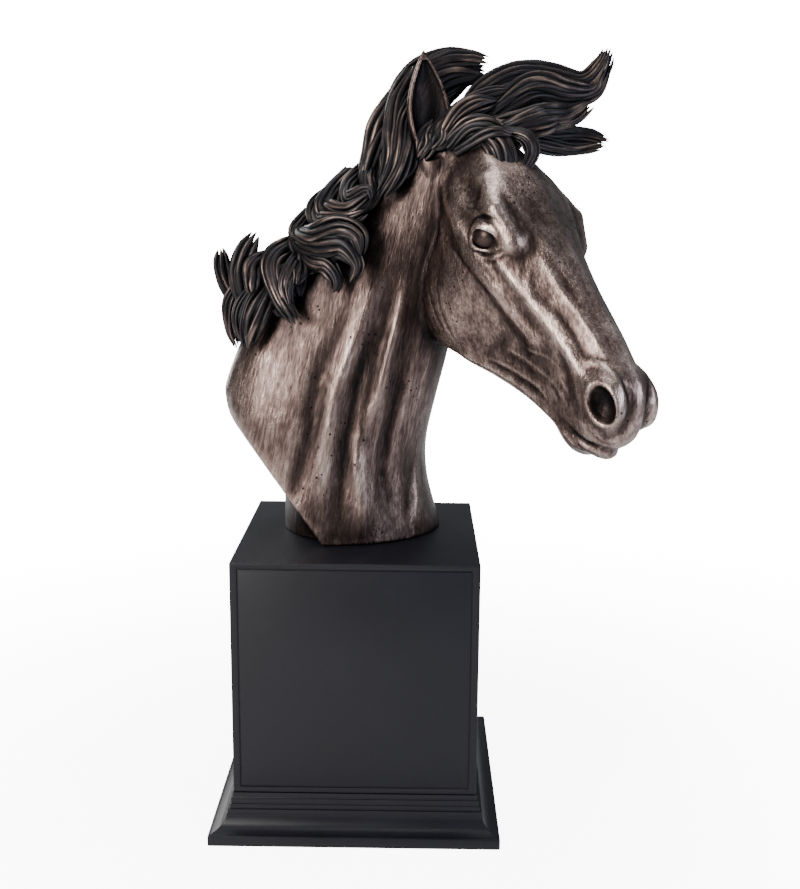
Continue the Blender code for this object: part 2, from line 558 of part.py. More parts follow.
def squareStack(name, rows):
    """A square turning: each row is (half width, height), closed flat at both ends."""
    vertices = [(x * half, y * half, z) for half, z in rows for x, y in ((-1, -1), (1, -1), (1, 1), (-1, 1))]
    faces = [(3, 2, 1, 0)]
    for i in range(len(rows) - 1):
        for k in range(4):
            a, b = 4 * i + k, 4 * i + (k + 1) % 4
            faces.append((a, b, b + 4, a + 4))
    last = 4 * (len(rows) - 1)
    faces.append((last, last + 1, last + 2, last + 3))
    return newObject(name, vertices, faces, False)


# The moulding's outline above its slab: how far each point stands out from the slab's edge towards
# the box (0 to 1), and how high it lies between the slab's top and the moulding's top (0 to 1).
mouldOutline = [(.06, .00), (.18, .02), (.40, .08), (.56, .17), (.665, .29), (.72, .43), (.745, .44),
                (.765, .55), (.84, .56), (.865, .68), (.90, .69), (.90, .85), (.96, .86), (.97, 1.0)]


def makeBase():
    half, round_ = baseWidth / 2, slabRound
    rows = [(half - round_, 0.0), (half - round_ * .3, round_ * .3), (half, round_),
            (half, slabHeight - round_), (half - round_ * .3, slabHeight - round_ * .3),
            (half - round_, slabHeight)]
    inner, rise = boxWidth / 2, mouldHeight - slabHeight
    for inward, up in mouldOutline:
        rows.append((half + (inner - half) * inward, slabHeight + rise * up + 1e-5))
    return squareStack("plinth_base", rows)


def makeBox():
    half, low, high, r = boxWidth / 2, mouldHeight + fitGap, mouldHeight + fitGap + boxHeight, boxRound
    bm = bmesh.new()
    bmesh.ops.create_cube(bm, size=1.0)
    bmesh.ops.scale(bm, vec=(boxWidth, boxWidth, boxHeight), verts=bm.verts)
    bmesh.ops.translate(bm, vec=(0, 0, (low + high) / 2), verts=bm.verts)
    # the front panel's line, a square groove set in from the edges
    front = next(f for f in bm.faces if f.normal.y < -.9)
    left, right = -half + panelInset, half - panelInset
    foot, top = low + panelFootInset, high - panelTopInset
    made = []
    for grow in (0.0, panelLine):
        x0, x1, z0, z1 = left + grow, right - grow, foot + grow, top - grow
        made.append([bm.verts.new((x, -half, z)) for x, z in ((x0, z0), (x1, z0), (x1, z1), (x0, z1))])
    middle = (low + high) / 2
    outer = sorted(front.verts, key=lambda v: (v.co.z > middle, v.co.x if v.co.z < middle else -v.co.x))
    bm.faces.remove(front)
    deep = [[bm.verts.new((v.co.x, -half + panelDepth, v.co.z)) for v in ring] for ring in made]
    for a, b in ((outer, made[0]), (made[0], deep[0]), (deep[0], deep[1]), (deep[1], made[1])):
        for k in range(4):
            bm.faces.new((a[k], a[(k + 1) % 4], b[(k + 1) % 4], b[k]))
    bm.faces.new(made[1])
    bmesh.ops.recalc_face_normals(bm, faces=bm.faces)
    corners = [e for e in bm.edges if all(max(abs(v.co.x), abs(v.co.y)) > half - 1e-6 for v in e.verts)
               and e.calc_length() > boxHeight * .9 and abs(e.verts[0].co.x) > half - 1e-6
               and abs(e.verts[0].co.y) > half - 1e-6]
    bmesh.ops.bevel(bm, geom=corners, offset=r, segments=2, profile=.5, affect="EDGES")
    mesh = bpy.data.meshes.new("plinth_box")
    bm.to_mesh(mesh)
    bm.free()
    ob = bpy.data.objects.new("plinth_box", mesh)
    bpy.context.scene.collection.objects.link(ob)
    return ob


for old in list(bpy.data.objects):
    bpy.data.objects.remove(old, do_unlink=True)
finish(makeBust(), "cold_cast_bronze", (0.20, 0.145, 0.115), 0.75, 0.36)
finish(makeBox(), "black_box_paint", (0.006, 0.006, 0.008), 0.0, 0.38)
finish(makeBase(), "black_base_paint", (0.006, 0.006, 0.008), 0.0, 0.34)
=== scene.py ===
import time
import bpy
import bmesh
import numpy as np
from math import cos, radians, sin
from mathutils import Vector, Matrix


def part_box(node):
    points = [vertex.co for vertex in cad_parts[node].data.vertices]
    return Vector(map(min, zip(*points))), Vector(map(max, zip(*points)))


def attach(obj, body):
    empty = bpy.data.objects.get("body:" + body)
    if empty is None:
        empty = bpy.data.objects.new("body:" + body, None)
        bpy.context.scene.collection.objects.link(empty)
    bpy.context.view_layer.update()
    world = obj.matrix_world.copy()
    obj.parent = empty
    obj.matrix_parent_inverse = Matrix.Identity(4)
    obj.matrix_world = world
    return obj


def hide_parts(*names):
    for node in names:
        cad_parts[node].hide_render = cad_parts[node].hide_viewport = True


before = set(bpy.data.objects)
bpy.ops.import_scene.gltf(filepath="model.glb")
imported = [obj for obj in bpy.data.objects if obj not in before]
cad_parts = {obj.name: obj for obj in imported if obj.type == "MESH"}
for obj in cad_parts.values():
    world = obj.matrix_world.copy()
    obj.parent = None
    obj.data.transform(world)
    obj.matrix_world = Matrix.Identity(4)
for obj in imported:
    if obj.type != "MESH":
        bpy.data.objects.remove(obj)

began = time.time()
for name in ("Cube", "Light", "Camera"):  # what a new Blender file holds
    if name in bpy.data.objects:
        bpy.data.objects.remove(bpy.data.objects[name])
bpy.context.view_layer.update()  # the solids' own box, before anything is dressed
f4 = np.float32

# The bust is drawn in millimetres above the plinth, then moved up onto it.
headLength, headTurn, headNod, headTilt = .285, -54.0, -42.0, -6.0
earLength, eyeSize, drawnHead, bustScale = .090, .0131, 285.0, 1.0
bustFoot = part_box("horse_bust")[0][2]


def say(text):
    print(f"{time.time() - began:6.1f} s  {text}")


# Unit vectors of the head as columns: forward along the nose, to its left, out of its brow.
def headAxes(turn, nod, tilt):
    a, b, c = radians(turn), radians(nod), radians(tilt)
    ahead = np.array([cos(a) * cos(b), sin(a) * cos(b), sin(b)])
    left = np.array([-sin(a), cos(a), 0.0])
    brow = np.cross(ahead, left)
    return np.stack([ahead, left * cos(c) + brow * sin(c), brow * cos(c) - left * sin(c)], 1)


# The union of two distance fields, filleted over k.
def merge(a, b, k):
    h = np.clip(0.5 + 0.5 * (b - a) / k, 0, 1)
    return b + (a - b) * h - k * h * (1 - h)


# What is in a and not in b, with edges softened over k.
def carve(a, b, k):
    return -merge(-a, b, k)


def ellipsoid(p, centre, radii, axes=None):
    q = p - np.asarray(centre, f4)
    if axes is not None:
        q = q @ np.asarray(axes, f4)
    r = np.asarray(radii, f4)
    k0 = np.sqrt(((q / r) ** 2).sum(1))
    return k0 * (k0 - 1) / (np.sqrt(((q / (r * r)) ** 2).sum(1)) + 1e-6)


# A round bar from a to b whose radius runs from ra to rb.
def rod(p, a, b, ra, rb):
    a, b = np.asarray(a, f4), np.asarray(b, f4)
    d = b - a
    t = np.clip(((p - a) @ d) / (d @ d), 0, 1)
    return np.sqrt(((p - a - t[:, None] * d) ** 2).sum(1)) - (ra + (rb - ra) * t)


# A bar that follows several points.
def bent(p, points, ra, rb):
    radii = np.linspace(ra, rb, len(points))
    out = np.full(len(p), 1e3, f4)
    for i in range(len(points) - 1):
        out = np.minimum(out, rod(p, points[i], points[i + 1], radii[i], radii[i + 1]))
    return out


# A smooth curve through the points, as count samples.
def through(points, count):
    p = np.asarray(points, float)
    q = np.vstack([2 * p[0] - p[1], p, 2 * p[-1] - p[-2]])
    t = np.linspace(0, len(p) - 1, count)
    i = np.minimum(t.astype(int), len(p) - 2)
    f = (t - i)[:, None]
    a, b, c, d = q[i], q[i + 1], q[i + 2], q[i + 3]
    square, cube = 2 * a - 5 * b + 4 * c - d, 3 * b - a - 3 * c + d
    return 0.5 * (2 * b + (c - a) * f + square * f ** 2 + cube * f ** 3)


# Reads a table smoothly between its stations.
def table(xs, ys, x):
    xs, ys = np.asarray(xs, float), np.asarray(ys, float)
    slope = np.gradient(ys, xs)
    i = np.clip(np.searchsorted(xs, x) - 1, 0, len(xs) - 2)
    h = xs[i + 1] - xs[i]
    t = np.clip((x - xs[i]) / h, 0, 1)
    ends = (1 + 2 * t) * (1 - t) ** 2 * ys[i] + t * t * (3 - 2 * t) * ys[i + 1]
    return (ends + h * (t * (1 - t) ** 2 * slope[i] + t * t * (t - 1) * slope[i + 1])).astype(f4)


# Sections of the head, as shares of its length from the poll (0) to the lips (1).
# Each section is a half outline: brow plane, eye and cheekbone level, cheek, jaw edge, underside.
station = [-.06, .00, .10, .20, .29, .38, .47, .57, .68, .79, .88, .95]
midTop = [-.030, -.010, .010, .018, .016, .006, -.008, -.020, -.030, -.042, -.062, -.095]
browWide = [.045, .055, .080, .105, .115, .095, .072, .060, .054, .050, .045, .038]
browHigh = [-.050, -.035, -.016, -.008, -.010, -.018, -.028, -.038, -.050, -.064, -.085, -.115]
boneWide = [.075, .090, .120, .145, .160, .160, .142, .120, .102, .090, .083, .070]
boneHigh = [-.100, -.100, -.100, -.095, -.095, -.110, -.120, -.125, -.130, -.135, -.145, -.165]
cheekWide = [.080, .095, .120, .140, .148, .142, .120, .096, .080, .076, .078, .068]
cheekHigh = [-.140, -.150, -.170, -.210, -.235, -.250, -.250, -.240, -.225, -.215, -.210, -.200]
jawWide = [.050, .055, .075, .100, .112, .110, .094, .074, .060, .055, .054, .045]
jawHigh = [-.170, -.180, -.210, -.290, -.380, -.430, -.415, -.372, -.330, -.302, -.285, -.255]
midFoot = [-.190, -.200, -.240, -.330, -.420, -.460, -.435, -.388, -.345, -.318, -.300, -.270]
sectionRound = 0.022

# The eye, in shares of the head's length: forward, to the side, out of the brow.
eyeCentre, lidThick = (.338, .126, -.104), .007
lidSlant = np.array([(.908, .323, -.269), (-.204, .898, .389), (.367, -.298, .881)])
upperLid = [(.313, .154, -.130), (.319, .168, -.101), (.336, .166, -.076), (.362, .154, -.068),
            (.385, .142, -.077), (.402, .134, -.094)]
lowerLid = [(.313, .154, -.130), (.341, .165, -.139), (.368, .159, -.129), (.388, .146, -.112),
            (.402, .134, -.094)]


def headSections(p):
    x, y, z = p[:, 0], np.abs(p[:, 1]), p[:, 2]
    r = sectionRound
    row = [table(station, v, x) for v in (midTop, browWide, browHigh, boneWide, boneHigh, cheekWide,
                                          cheekHigh, jawWide, jawHigh, midFoot)]
    zero = np.zeros_like(x)
    corner = [(zero, row[0] - r), (row[1] - r, row[2] - r * .6), (row[3] - r, row[4]), (row[5] - r, row[6]),
              (row[7] - r, row[8] + r * .6), (zero, row[9] + r)]
    near = np.full(len(x), 9.0, f4)
    wide = np.full(len(x), -1.0, f4)
    for (ay, az), (by, bz) in zip(corner[:-1], corner[1:]):
        ey, ez = by - ay, bz - az
        t = np.clip(((y - ay) * ey + (z - az) * ez) / (ey * ey + ez * ez + 1e-12), 0, 1)
        near = np.minimum(near, np.hypot(y - ay - t * ey, z - az - t * ez))
        wide = np.where((z <= az) & (z > bz), ay + ey * (az - z) / np.maximum(az - bz, 1e-6), wide)
    side = np.where(y < wide, -near, near) - r
    return -merge(-side, -np.maximum(x - .93, -.03 - x), .06)


# The head alone, in shares of its length; the two sides mirror one another.
def headForm(p):
    q = p.copy()
    q[:, 1] = np.abs(q[:, 1])
    f = headSections(p)
    f = merge(f, ellipsoid(q, (.322, .072, -.282), (.165, .084, .195)), .02)      # cheek muscle
    f = merge(f, ellipsoid(p, (.20, 0, -.075), (.19, .112, .092)), .03)           # forehead
    # brow bone, cheekbone arch and the crest below the eye
    f = merge(f, bent(q, ((.225, .104, -.048), (.318, .146, -.036), (.400, .122, -.060)), .025, .021), .05)
    f = merge(f, bent(q, ((.10, .110, -.135), (.26, .146, -.150), (.46, .130, -.172), (.62, .088, -.182)),
                      .020, .012), .035)
    f = carve(f, ellipsoid(q, (.205, .160, -.060), (.038, .020, .020)), .04)      # hollow above the eye
    f = carve(f, ellipsoid(q, (.352, .182, -.106), (.054, .032, .035)), .02)      # eye socket
    # lids: a shell over the eyeball, opened by a slanting oval, with a rim above and below
    shell = eyeSize / headLength + lidThick
    opening = ellipsoid(q, (.359, .162, -.109), (.054, .040, .030), lidSlant)
    f = merge(f, carve(ellipsoid(q, eyeCentre, (shell, shell, shell)), opening, .003), .006)
    for rim, radius in ((upperLid, .0068), (lowerLid, .0055)):
        f = merge(f, bent(q, through(rim, 9), radius, radius), .006)
    # muzzle, nostril wings, lower lip and chin
    f = merge(f, ellipsoid(p, (.874, 0, -.180), (.082, .066, .080)), .03)
    f = merge(f, ellipsoid(q, (.850, .054, -.130), (.064, .040, .056)), .03)
    f = merge(f, ellipsoid(p, (.878, 0, -.248), (.074, .054, .038)), .018)
    f = merge(f, ellipsoid(p, (.842, 0, -.293), (.058, .048, .034)), .025)
    slant = headAxes(0, -21, 0)
    f = merge(f, ellipsoid(q, (.876, .068, -.131), (.060, .029, .043), slant), .02)
    f = carve(f, ellipsoid(q, (.886, .106, -.130), (.056, .047, .038), slant), .010)
    f = carve(f, bent(q, ((.765, .078, -.291), (.856, .066, -.262), (.935, .045, -.236), (.965, .0, -.225)),
                      .006, .007), .012)                                          # mouth
    f = carve(f, rod(p, (.25, 0, -.50), (.72, 0, -.345), .035, .016), .02)        # between the jaw bones
    return f


# The neck lies between its crest and its throat line (x, y, height above the plinth), from just below
# its foot to the poll.
poll = np.array([97.0, -10.0, 327.3])
crestLine = [(-112, -5, -40), (-116, -4, 0), (-120, 0, 66), (-112, 0, 111), (-96, 0, 156), (-70, 0, 204),
             (-33, -1, 251), (8, -3, 291), (50, -6, 321), (88, -9, 334), (120, -12, 334)]
throatLine = [(74, 30, -40), (66, 26, 0), (55, 20, 44), (54, 15, 76), (61, 10, 111), (69, 7, 144),
              (75, 5, 174), (78, 4, 201), (81, 2, 228), (92, 0, 251), (112, -4, 276)]
neckHalf = [64, 60, 54, 49, 44, 40, 36, 34, 32, 31, 30]
crestThin = 0.22           # how much slimmer the crest is than the throat
neckSteps = 101
cutPoint, cutWay = np.array([-42.0, -20.0, 10.0]), np.array([-.80, -.20, -.56])
stubCentre, stubRadius = (-2.0, 21.0), 62.0


# For each place in the side view: how far up the neck it lies, and how far from throat to crest.
def neckChart(step=2.0, low=(-200.0, -30.0), high=(300.0, 460.0)):
    crest, throat = through(crestLine, neckSteps), through(throatLine, neckSteps)
    half = through([(v, 0) for v in neckHalf], neckSteps)[:, 0]
    gx, gz = np.meshgrid(np.arange(low[0], high[0], step), np.arange(low[1], high[1], step), indexing="ij")
    best, up, over = np.full(gx.shape, 1e9), np.zeros(gx.shape), np.zeros(gx.shape)
    side = []
    for k in range(neckSteps):
        dx, dz = crest[k, 0] - throat[k, 0], crest[k, 2] - throat[k, 2]
        side.append(((gx - throat[k, 0]) * dz - (gz - throat[k, 2]) * dx) / np.hypot(dx, dz))
    for k in range(neckSteps - 1):
        a, b = side[k], side[k + 1]
        f = np.where(a * b <= 0, a / (a - b + 1e-12), 0)
        tx = throat[k, 0] + f * (throat[k + 1, 0] - throat[k, 0])
        tz = throat[k, 2] + f * (throat[k + 1, 2] - throat[k, 2])
        cx = crest[k, 0] + f * (crest[k + 1, 0] - crest[k, 0]) - tx
        cz = crest[k, 2] + f * (crest[k + 1, 2] - crest[k, 2]) - tz
        u = ((gx - tx) * cx + (gz - tz) * cz) / (cx * cx + cz * cz) * 2 - 1
        hit = (a * b <= 0) & (np.abs(u) < best)
        best, up, over = np.where(hit, np.abs(u), best), np.where(hit, k + f, up), np.where(hit, u, over)
    return dict(low=low, step=step, up=up, over=over, known=(best < 1e8).astype(float),
                crest=crest, throat=throat, half=half)


def read(chart, name, p):
    grid = chart[name]
    fx, fz = (p[:, 0] - chart["low"][0]) / chart["step"], (p[:, 2] - chart["low"][1]) / chart["step"]
    i, j = np.clip(fx.astype(int), 0, grid.shape[0] - 2), np.clip(fz.astype(int), 0, grid.shape[1] - 2)
    a, b = np.clip(fx - i, 0, 1), np.clip(fz - j, 0, 1)
    low = grid[i, j] * (1 - a) + grid[i + 1, j] * a
    return low * (1 - b) + (grid[i, j + 1] * (1 - a) + grid[i + 1, j + 1] * a) * b


def neckForm(p, chart):
    up, over = read(chart, "up", p), np.clip(read(chart, "over", p), -3, 3)
    i = np.clip(up.astype(int), 0, neckSteps - 2)
    f = up - i
    crest, throat, half = chart["crest"], chart["throat"], chart["half"]
    wide = half[i] * (1 - f) + half[i + 1] * f
    deep = 0.5 * np.hypot(crest[i, 0] - throat[i, 0], crest[i, 2] - throat[i, 2])
    share = 0.5 + 0.5 * np.clip(over, -1, 1)
    middle = (crest[i, 1] * (1 - f) + crest[i + 1, 1] * f) * share
    middle += (throat[i, 1] * (1 - f) + throat[i + 1, 1] * f) * (1 - share)
    wide = wide * (1 - crestThin * np.clip(over, -1, 1))
    field = (np.sqrt(((p[:, 1] - middle) / wide) ** 2 + over ** 2) - 1) * np.minimum(wide, deep)
    return np.where(read(chart, "known", p) > .99, field, 60.0).astype(f4)


# A point on the neck: up 0 to 1 from foot to poll, over -1 at the throat to 1 at the crest.
def neckSkin(chart, up, over, side, lift):
    i = min(int(up * (neckSteps - 1)), neckSteps - 1)
    crest, throat = chart["crest"][i], chart["throat"][i]
    at = throat + (crest - throat) * (over + 1) / 2
    wide = chart["half"][i] * (1 - crestThin * over)
    at[1] += side * (wide * np.sqrt(max(1 - over * over, 0)) + lift)
    return at


# The near ear stands up with its cup to the front; the far one lies back behind the forelock.
ears = {
    "near": dict(foot=(57, -22, 288), way=(-.10, .07, .99), face=(.30, -.95, .10)),
    "far": dict(foot=(112, 8, 306), way=(.50, .47, .73), face=(.75, -.5, -.2)),
}
earStation = [-.2, 0, .15, .35, .55, .75, .9, 1.02]
earWide = [4.5, 9.4, 11.2, 16.2, 17.0, 12.6, 6.5, .5]
earDeep = [4.5, 9.9, 9.4, 9.0, 7.6, 5.4, 3.2, .3]
earWall = 3.0


def earForm(p, ear):
    size = earLength * 1000.0 / bustScale
    way = np.asarray(ear["way"], f4) / np.linalg.norm(ear["way"])
    face = np.asarray(ear["face"], f4)
    face = face - way * (face @ way)
    face /= np.linalg.norm(face)
    q = p - np.asarray(ear["foot"], f4)
    t, u, v = (q @ way) / size, q @ np.cross(way, face).astype(f4), q @ face
    at = np.clip(t, -.2, 1.02)
    wide, deep = table(earStation, earWide, at), table(earStation, earDeep, at)
    outer = (np.sqrt((u / wide) ** 2 + (v / deep) ** 2) - 1) * np.minimum(wide, deep)
    outer = np.maximum(outer, np.maximum(t - 1.02, -.2 - t) * size)
    thin = np.maximum(wide - earWall, .5)
    cup = (np.sqrt((u / thin) ** 2 + ((v - deep * .62) / (deep * 1.05)) ** 2) - 1) * np.minimum(thin, deep)
    cup = np.maximum(cup, np.maximum(t - .93, .10 - t) * size)
    return carve(outer, cup, 1.2)


faceStrokes = {
    "jaw line": (-1.0, 4.2, ((519, 84, -383), (526, 91, -333), (542, 97, -276), (563, 103, -219))),
    "cheek front": (-1.0, 5.5, ((481, 143, -161), (532, 130, -165), (575, 118, -163), (616, 109, -162))),
    "crest rise": (.9, 3.5, ((444, 125, -83), (479, 121, -91), (519, 125, -107), (560, 121, -119),
          (597, 111, -114), (644, 97, -107))),
    "crest run": (.9, 3.7, ((597, 111, -114), (652, 98, -110), (702, 94, -117), (751, 91, -123),
          (787, 91, -131))),
    "lip lifter": (1.0, 3.3, ((475, 93, -58), (502, 113, -88), (544, 118, -107), (588, 105, -103),
          (633, 92, -98), (679, 84, -98), (729, 82, -104))),
    "lifter hollow": (-0.9, 3.0, ((474, 115, -82), (513, 123, -104), (554, 120, -114))),
    "nose side ridge": (1.1, 3.5, ((456, 84, -41), (513, 75, -48), (580, 68, -56), (649, 58, -56),
          (711, 53, -60), (769, 51, -67), (807, 52, -72))),
    "nose side hollow": (-1.3, 4.6, ((466, 63, -23), (537, 57, -33), (620, 50, -41), (714, 43, -49),
          (794, 41, -60), (838, 43, -66))),
    "lower hollow": (-0.9, 3.0, ((618, 88, -90), (674, 79, -89), (735, 73, -94), (770, 69, -94))),
    "nostril fold": (1.1, 3.0, ((763, 90, -123), (771, 72, -98), (804, 63, -81), (848, 58, -71),
          (888, 58, -81), (917, 61, -103))),
    "nostril crescent": (-2.0, 3.0, ((839, 55, -70), (874, 44, -73), (903, 33, -88), (928, 30, -118),
          (942, 35, -154), (937, 49, -183), (918, 65, -201))),
    "nostril back ridge": (1.0, 3.3, ((716, 96, -125), (764, 91, -142), (808, 88, -166), (847, 85, -188))),
    "nostril back hollow": (-1.3, 3.3, ((691, 98, -145), (732, 91, -158), (772, 82, -186), (813, 78, -205))),
    "jaw vein a": (0.7, 2.1, ((527, 87, -355), (566, 81, -329), (622, 74, -302), (679, 69, -280),
          (726, 66, -271))),
    "jaw vein b": (0.7, 2.1, ((539, 79, -377), (589, 71, -352), (652, 63, -326), (723, 58, -303))),
    "jaw groove": (-0.9, 2.1, ((537, 83, -359), (579, 76, -339), (640, 68, -313), (702, 64, -286),
          (744, 62, -281))),
    "jaw vein c": (0.7, 2.3, ((554, 92, -282), (598, 87, -260), (660, 80, -239), (721, 78, -222),
          (759, 75, -224))),
    "jaw groove c": (-0.7, 2.2, ((552, 88, -307), (603, 82, -281), (665, 75, -260), (720, 72, -247))),
    "vein fork": (0.6, 1.8, ((594, 94, -227), (637, 91, -213), (673, 90, -186), (713, 88, -176))),
    "mouth wrinkle a": (-0.6, 1.8, ((725, 75, -233), (756, 73, -231), (783, 69, -245))),
    "mouth wrinkle b": (-0.6, 1.8, ((736, 80, -205), (774, 78, -206), (813, 75, -221))),
    "cheek rear line a": (-0.4, 1.8, ((164, 143, -224), (207, 147, -285), (282, 150, -340),
          (371, 140, -381), (439, 107, -405))),
    "cheek rear line b": (-0.4, 1.7, ((177, 156, -259), (223, 159, -324), (289, 146, -391),
          (365, 120, -433), (349, 8, -533))),
    "cheek rear line c": (-0.4, 1.6, ((256, 151, -236), (311, 155, -311), (383, 142, -361),
          (448, 106, -394))),
    "arch fold a": (0.35, 3.0, ((184, 152, -152), (261, 167, -148), (333, 165, -149), (402, 157, -146),
          (464, 144, -147), (522, 129, -147))),
    "arch fold b": (-0.3, 2.4, ((222, 160, -149), (290, 167, -155), (354, 164, -155), (422, 155, -153),
          (483, 140, -152))),
    "arch fold c": (-0.6, 2.1, ((225, 145, -201), (305, 155, -200), (375, 153, -198), (441, 141, -199),
          (487, 135, -193))),
    "under eye a": (-0.7, 1.7, ((350, 163, -142), (377, 156, -131), (403, 153, -106), (417, 146, -75))),
    "under eye b": (-0.6, 1.8, ((367, 163, -153), (402, 156, -135), (425, 149, -105), (428, 134, -84))),
    "brow fold": (-1.0, 1.7, ((283, 162, -129), (288, 160, -104), (299, 154, -78), (342, 166, -44),
          (370, 156, -40), (392, 150, -48))),
    "brow wrinkle a": (-0.4, 1.3, ((205, 144, -102), (235, 146, -90), (246, 137, -72), (275, 161, -31))),
    "brow wrinkle b": (-0.4, 1.3, ((226, 150, -107), (259, 154, -89), (274, 150, -65))),
    "tear hollow": (-.6, 7, ((369, 102, -24), (409, 104, -36), (437, 91, -42))),
    "temple ridge": (0.7, 4.4, ((119, 128, -101), (174, 142, -109), (246, 153, -104))),
    "temple hollow": (-0.8, 3.6, ((97, 130, -109), (141, 143, -131), (206, 156, -136))),
    "ear root line": (-0.9, 2.8, ((87, 155, -160), (128, 145, -179), (151, 153, -222))),
    "forehead bump": (1.0, 9, ((163, 113, -39), (240, 145, -23), (296, 162, -19))),
    "forehead edge": (-0.6, 5, ((215, 91, 3), (281, 113, -6), (326, 112, -18))),
    "lower lip edge": (0.6, 2.1, ((801, 54, -294), (842, 57, -288), (882, 50, -286), (915, 34, -275))),
    "chin groove": (-0.7, 2.3, ((808, 51, -301), (841, 43, -312), (873, 33, -312))),
    "upper lip groove": (-0.5, 2.3, ((878, 80, -207), (908, 69, -213), (934, 45, -213), (951, 17, -201))),
}

neckStrokes = {
    "shoulder hollow": (-3.0, 8, ((-4, 186), (-17, 159), (-28, 137), (-33, 115), (-36, 92), (-41, 70),
                                  (-49, 44), (-54, 28))),
    "shoulder plane": (1.4, 14, ((-62, 170), (-74, 140), (-78, 105), (-72, 75))),
    "strap muscle": (3.2, 8, ((16, 212), (4, 178), (-6, 150), (-16, 125), (-21, 100), (-27, 68), (-32, 38))),
    "deep groove": (-4.2, 8, ((24, 212), (12, 168), (1, 137), (-6, 106), (-11, 75), (-15, 40), (-15, 2))),
    "fine strap": (2.8, 4.5, ((38, 214), (32, 184), (26, 162), (21, 140), (15, 116), (6, 92))),
    "throat groove": (-2.8, 6, ((49, 200), (38, 159), (32, 131), (26, 105), (20, 78), (18, 54),
                                (21, 28), (25, 4))),
    "foot flame": (3.0, 7, ((-3, 92), (0, 62), (4, 36), (3, 6))),
    "wedge groove": (-1.4, 4.5, ((28, 203), (21, 170), (15, 147), (9, 118), (2, 92))),
    "chest edge": (1.8, 4, ((48, 66), (48, 40), (48, 12))),
    "chest hollow": (-1.6, 5, ((41, 76), (40, 42), (39, 12))),
}


# How far the carved lines lift the surface: h mm high or deep, w mm wide, along a line.
def reliefOf(q, rows, size, softer=1.0):
    out = np.zeros(len(q), f4)
    for high, wide, points in rows.values():
        wide = wide * softer
        line = through(np.array(points, float) * size, 3 * len(points))
        m = np.flatnonzero(((q > line.min(0) - 2.2 * wide) & (q < line.max(0) + 2.2 * wide)).all(1))
        if not len(m):
            continue
        p, near, at = q[m], np.full(len(m), 1e3), np.zeros(len(m))
        for i in range(len(line) - 1):
            d = line[i + 1] - line[i]
            t = np.clip(((p - line[i]) @ d) / (d @ d + 1e-9), 0, 1)
            away = np.sqrt(((p - line[i] - t[:, None] * d) ** 2).sum(1))
            at = np.where(away < near, (i + t) / (len(line) - 1), at)
            near = np.minimum(near, away)
        ends = np.clip(np.minimum(at, 1 - at) * 3.2 + .08, 0, 1)
        out[m] += high * ends * np.exp(-(near / wide) ** 2)
    return out


# Head, neck, ears and foot without the hair; negative inside.
def skinForm(p):
    p = p.astype(f4)
    neck = neckForm(p, chart)
    near = neck < 12
    sideView = p[near][:, [0, 2]]
    share = np.where(p[near][:, 1] < 2, 1.0, .55) * np.clip(np.abs(p[near][:, 1] + 2) / 16, 0, 1)
    neck[near] -= reliefOf(sideView, neckStrokes, 1.0) * share
    way = cutWay / np.linalg.norm(cutWay)
    soft = (.8 + 13 * np.clip((p[:, 2] - 60) / 50, 0, 1)).astype(f4)  # the withers' corner is rounded
    trimmed = -merge(-neck, -((p - cutPoint) @ way).astype(f4), soft)
    foot = np.maximum(np.hypot(p[:, 0] - stubCentre[0], p[:, 1] - stubCentre[1]) - stubRadius, neck + 4)
    f = np.minimum(trimmed, np.maximum(foot, p[:, 2] - 60))
    q = ((p - poll) / drawnHead @ headAxes(headTurn, headNod, headTilt)).astype(f4)
    head = headForm(q) * drawnHead
    near = np.abs(head) < 9
    q = q[near] * drawnHead
    q[:, 1] = np.abs(q[:, 1])
    head[near] -= reliefOf(q, faceStrokes, drawnHead / 1000.0)
    f = merge(f, head, 5.0)
    for ear in ears.values():
        m = np.flatnonzero((np.abs(p - np.asarray(ear["foot"], f4)) < 125).all(1))
        if len(m):
            f[m] = merge(f[m], earForm(p[m], ear), 4.0)
    return np.maximum(f, -p[:, 2]).astype(f4)


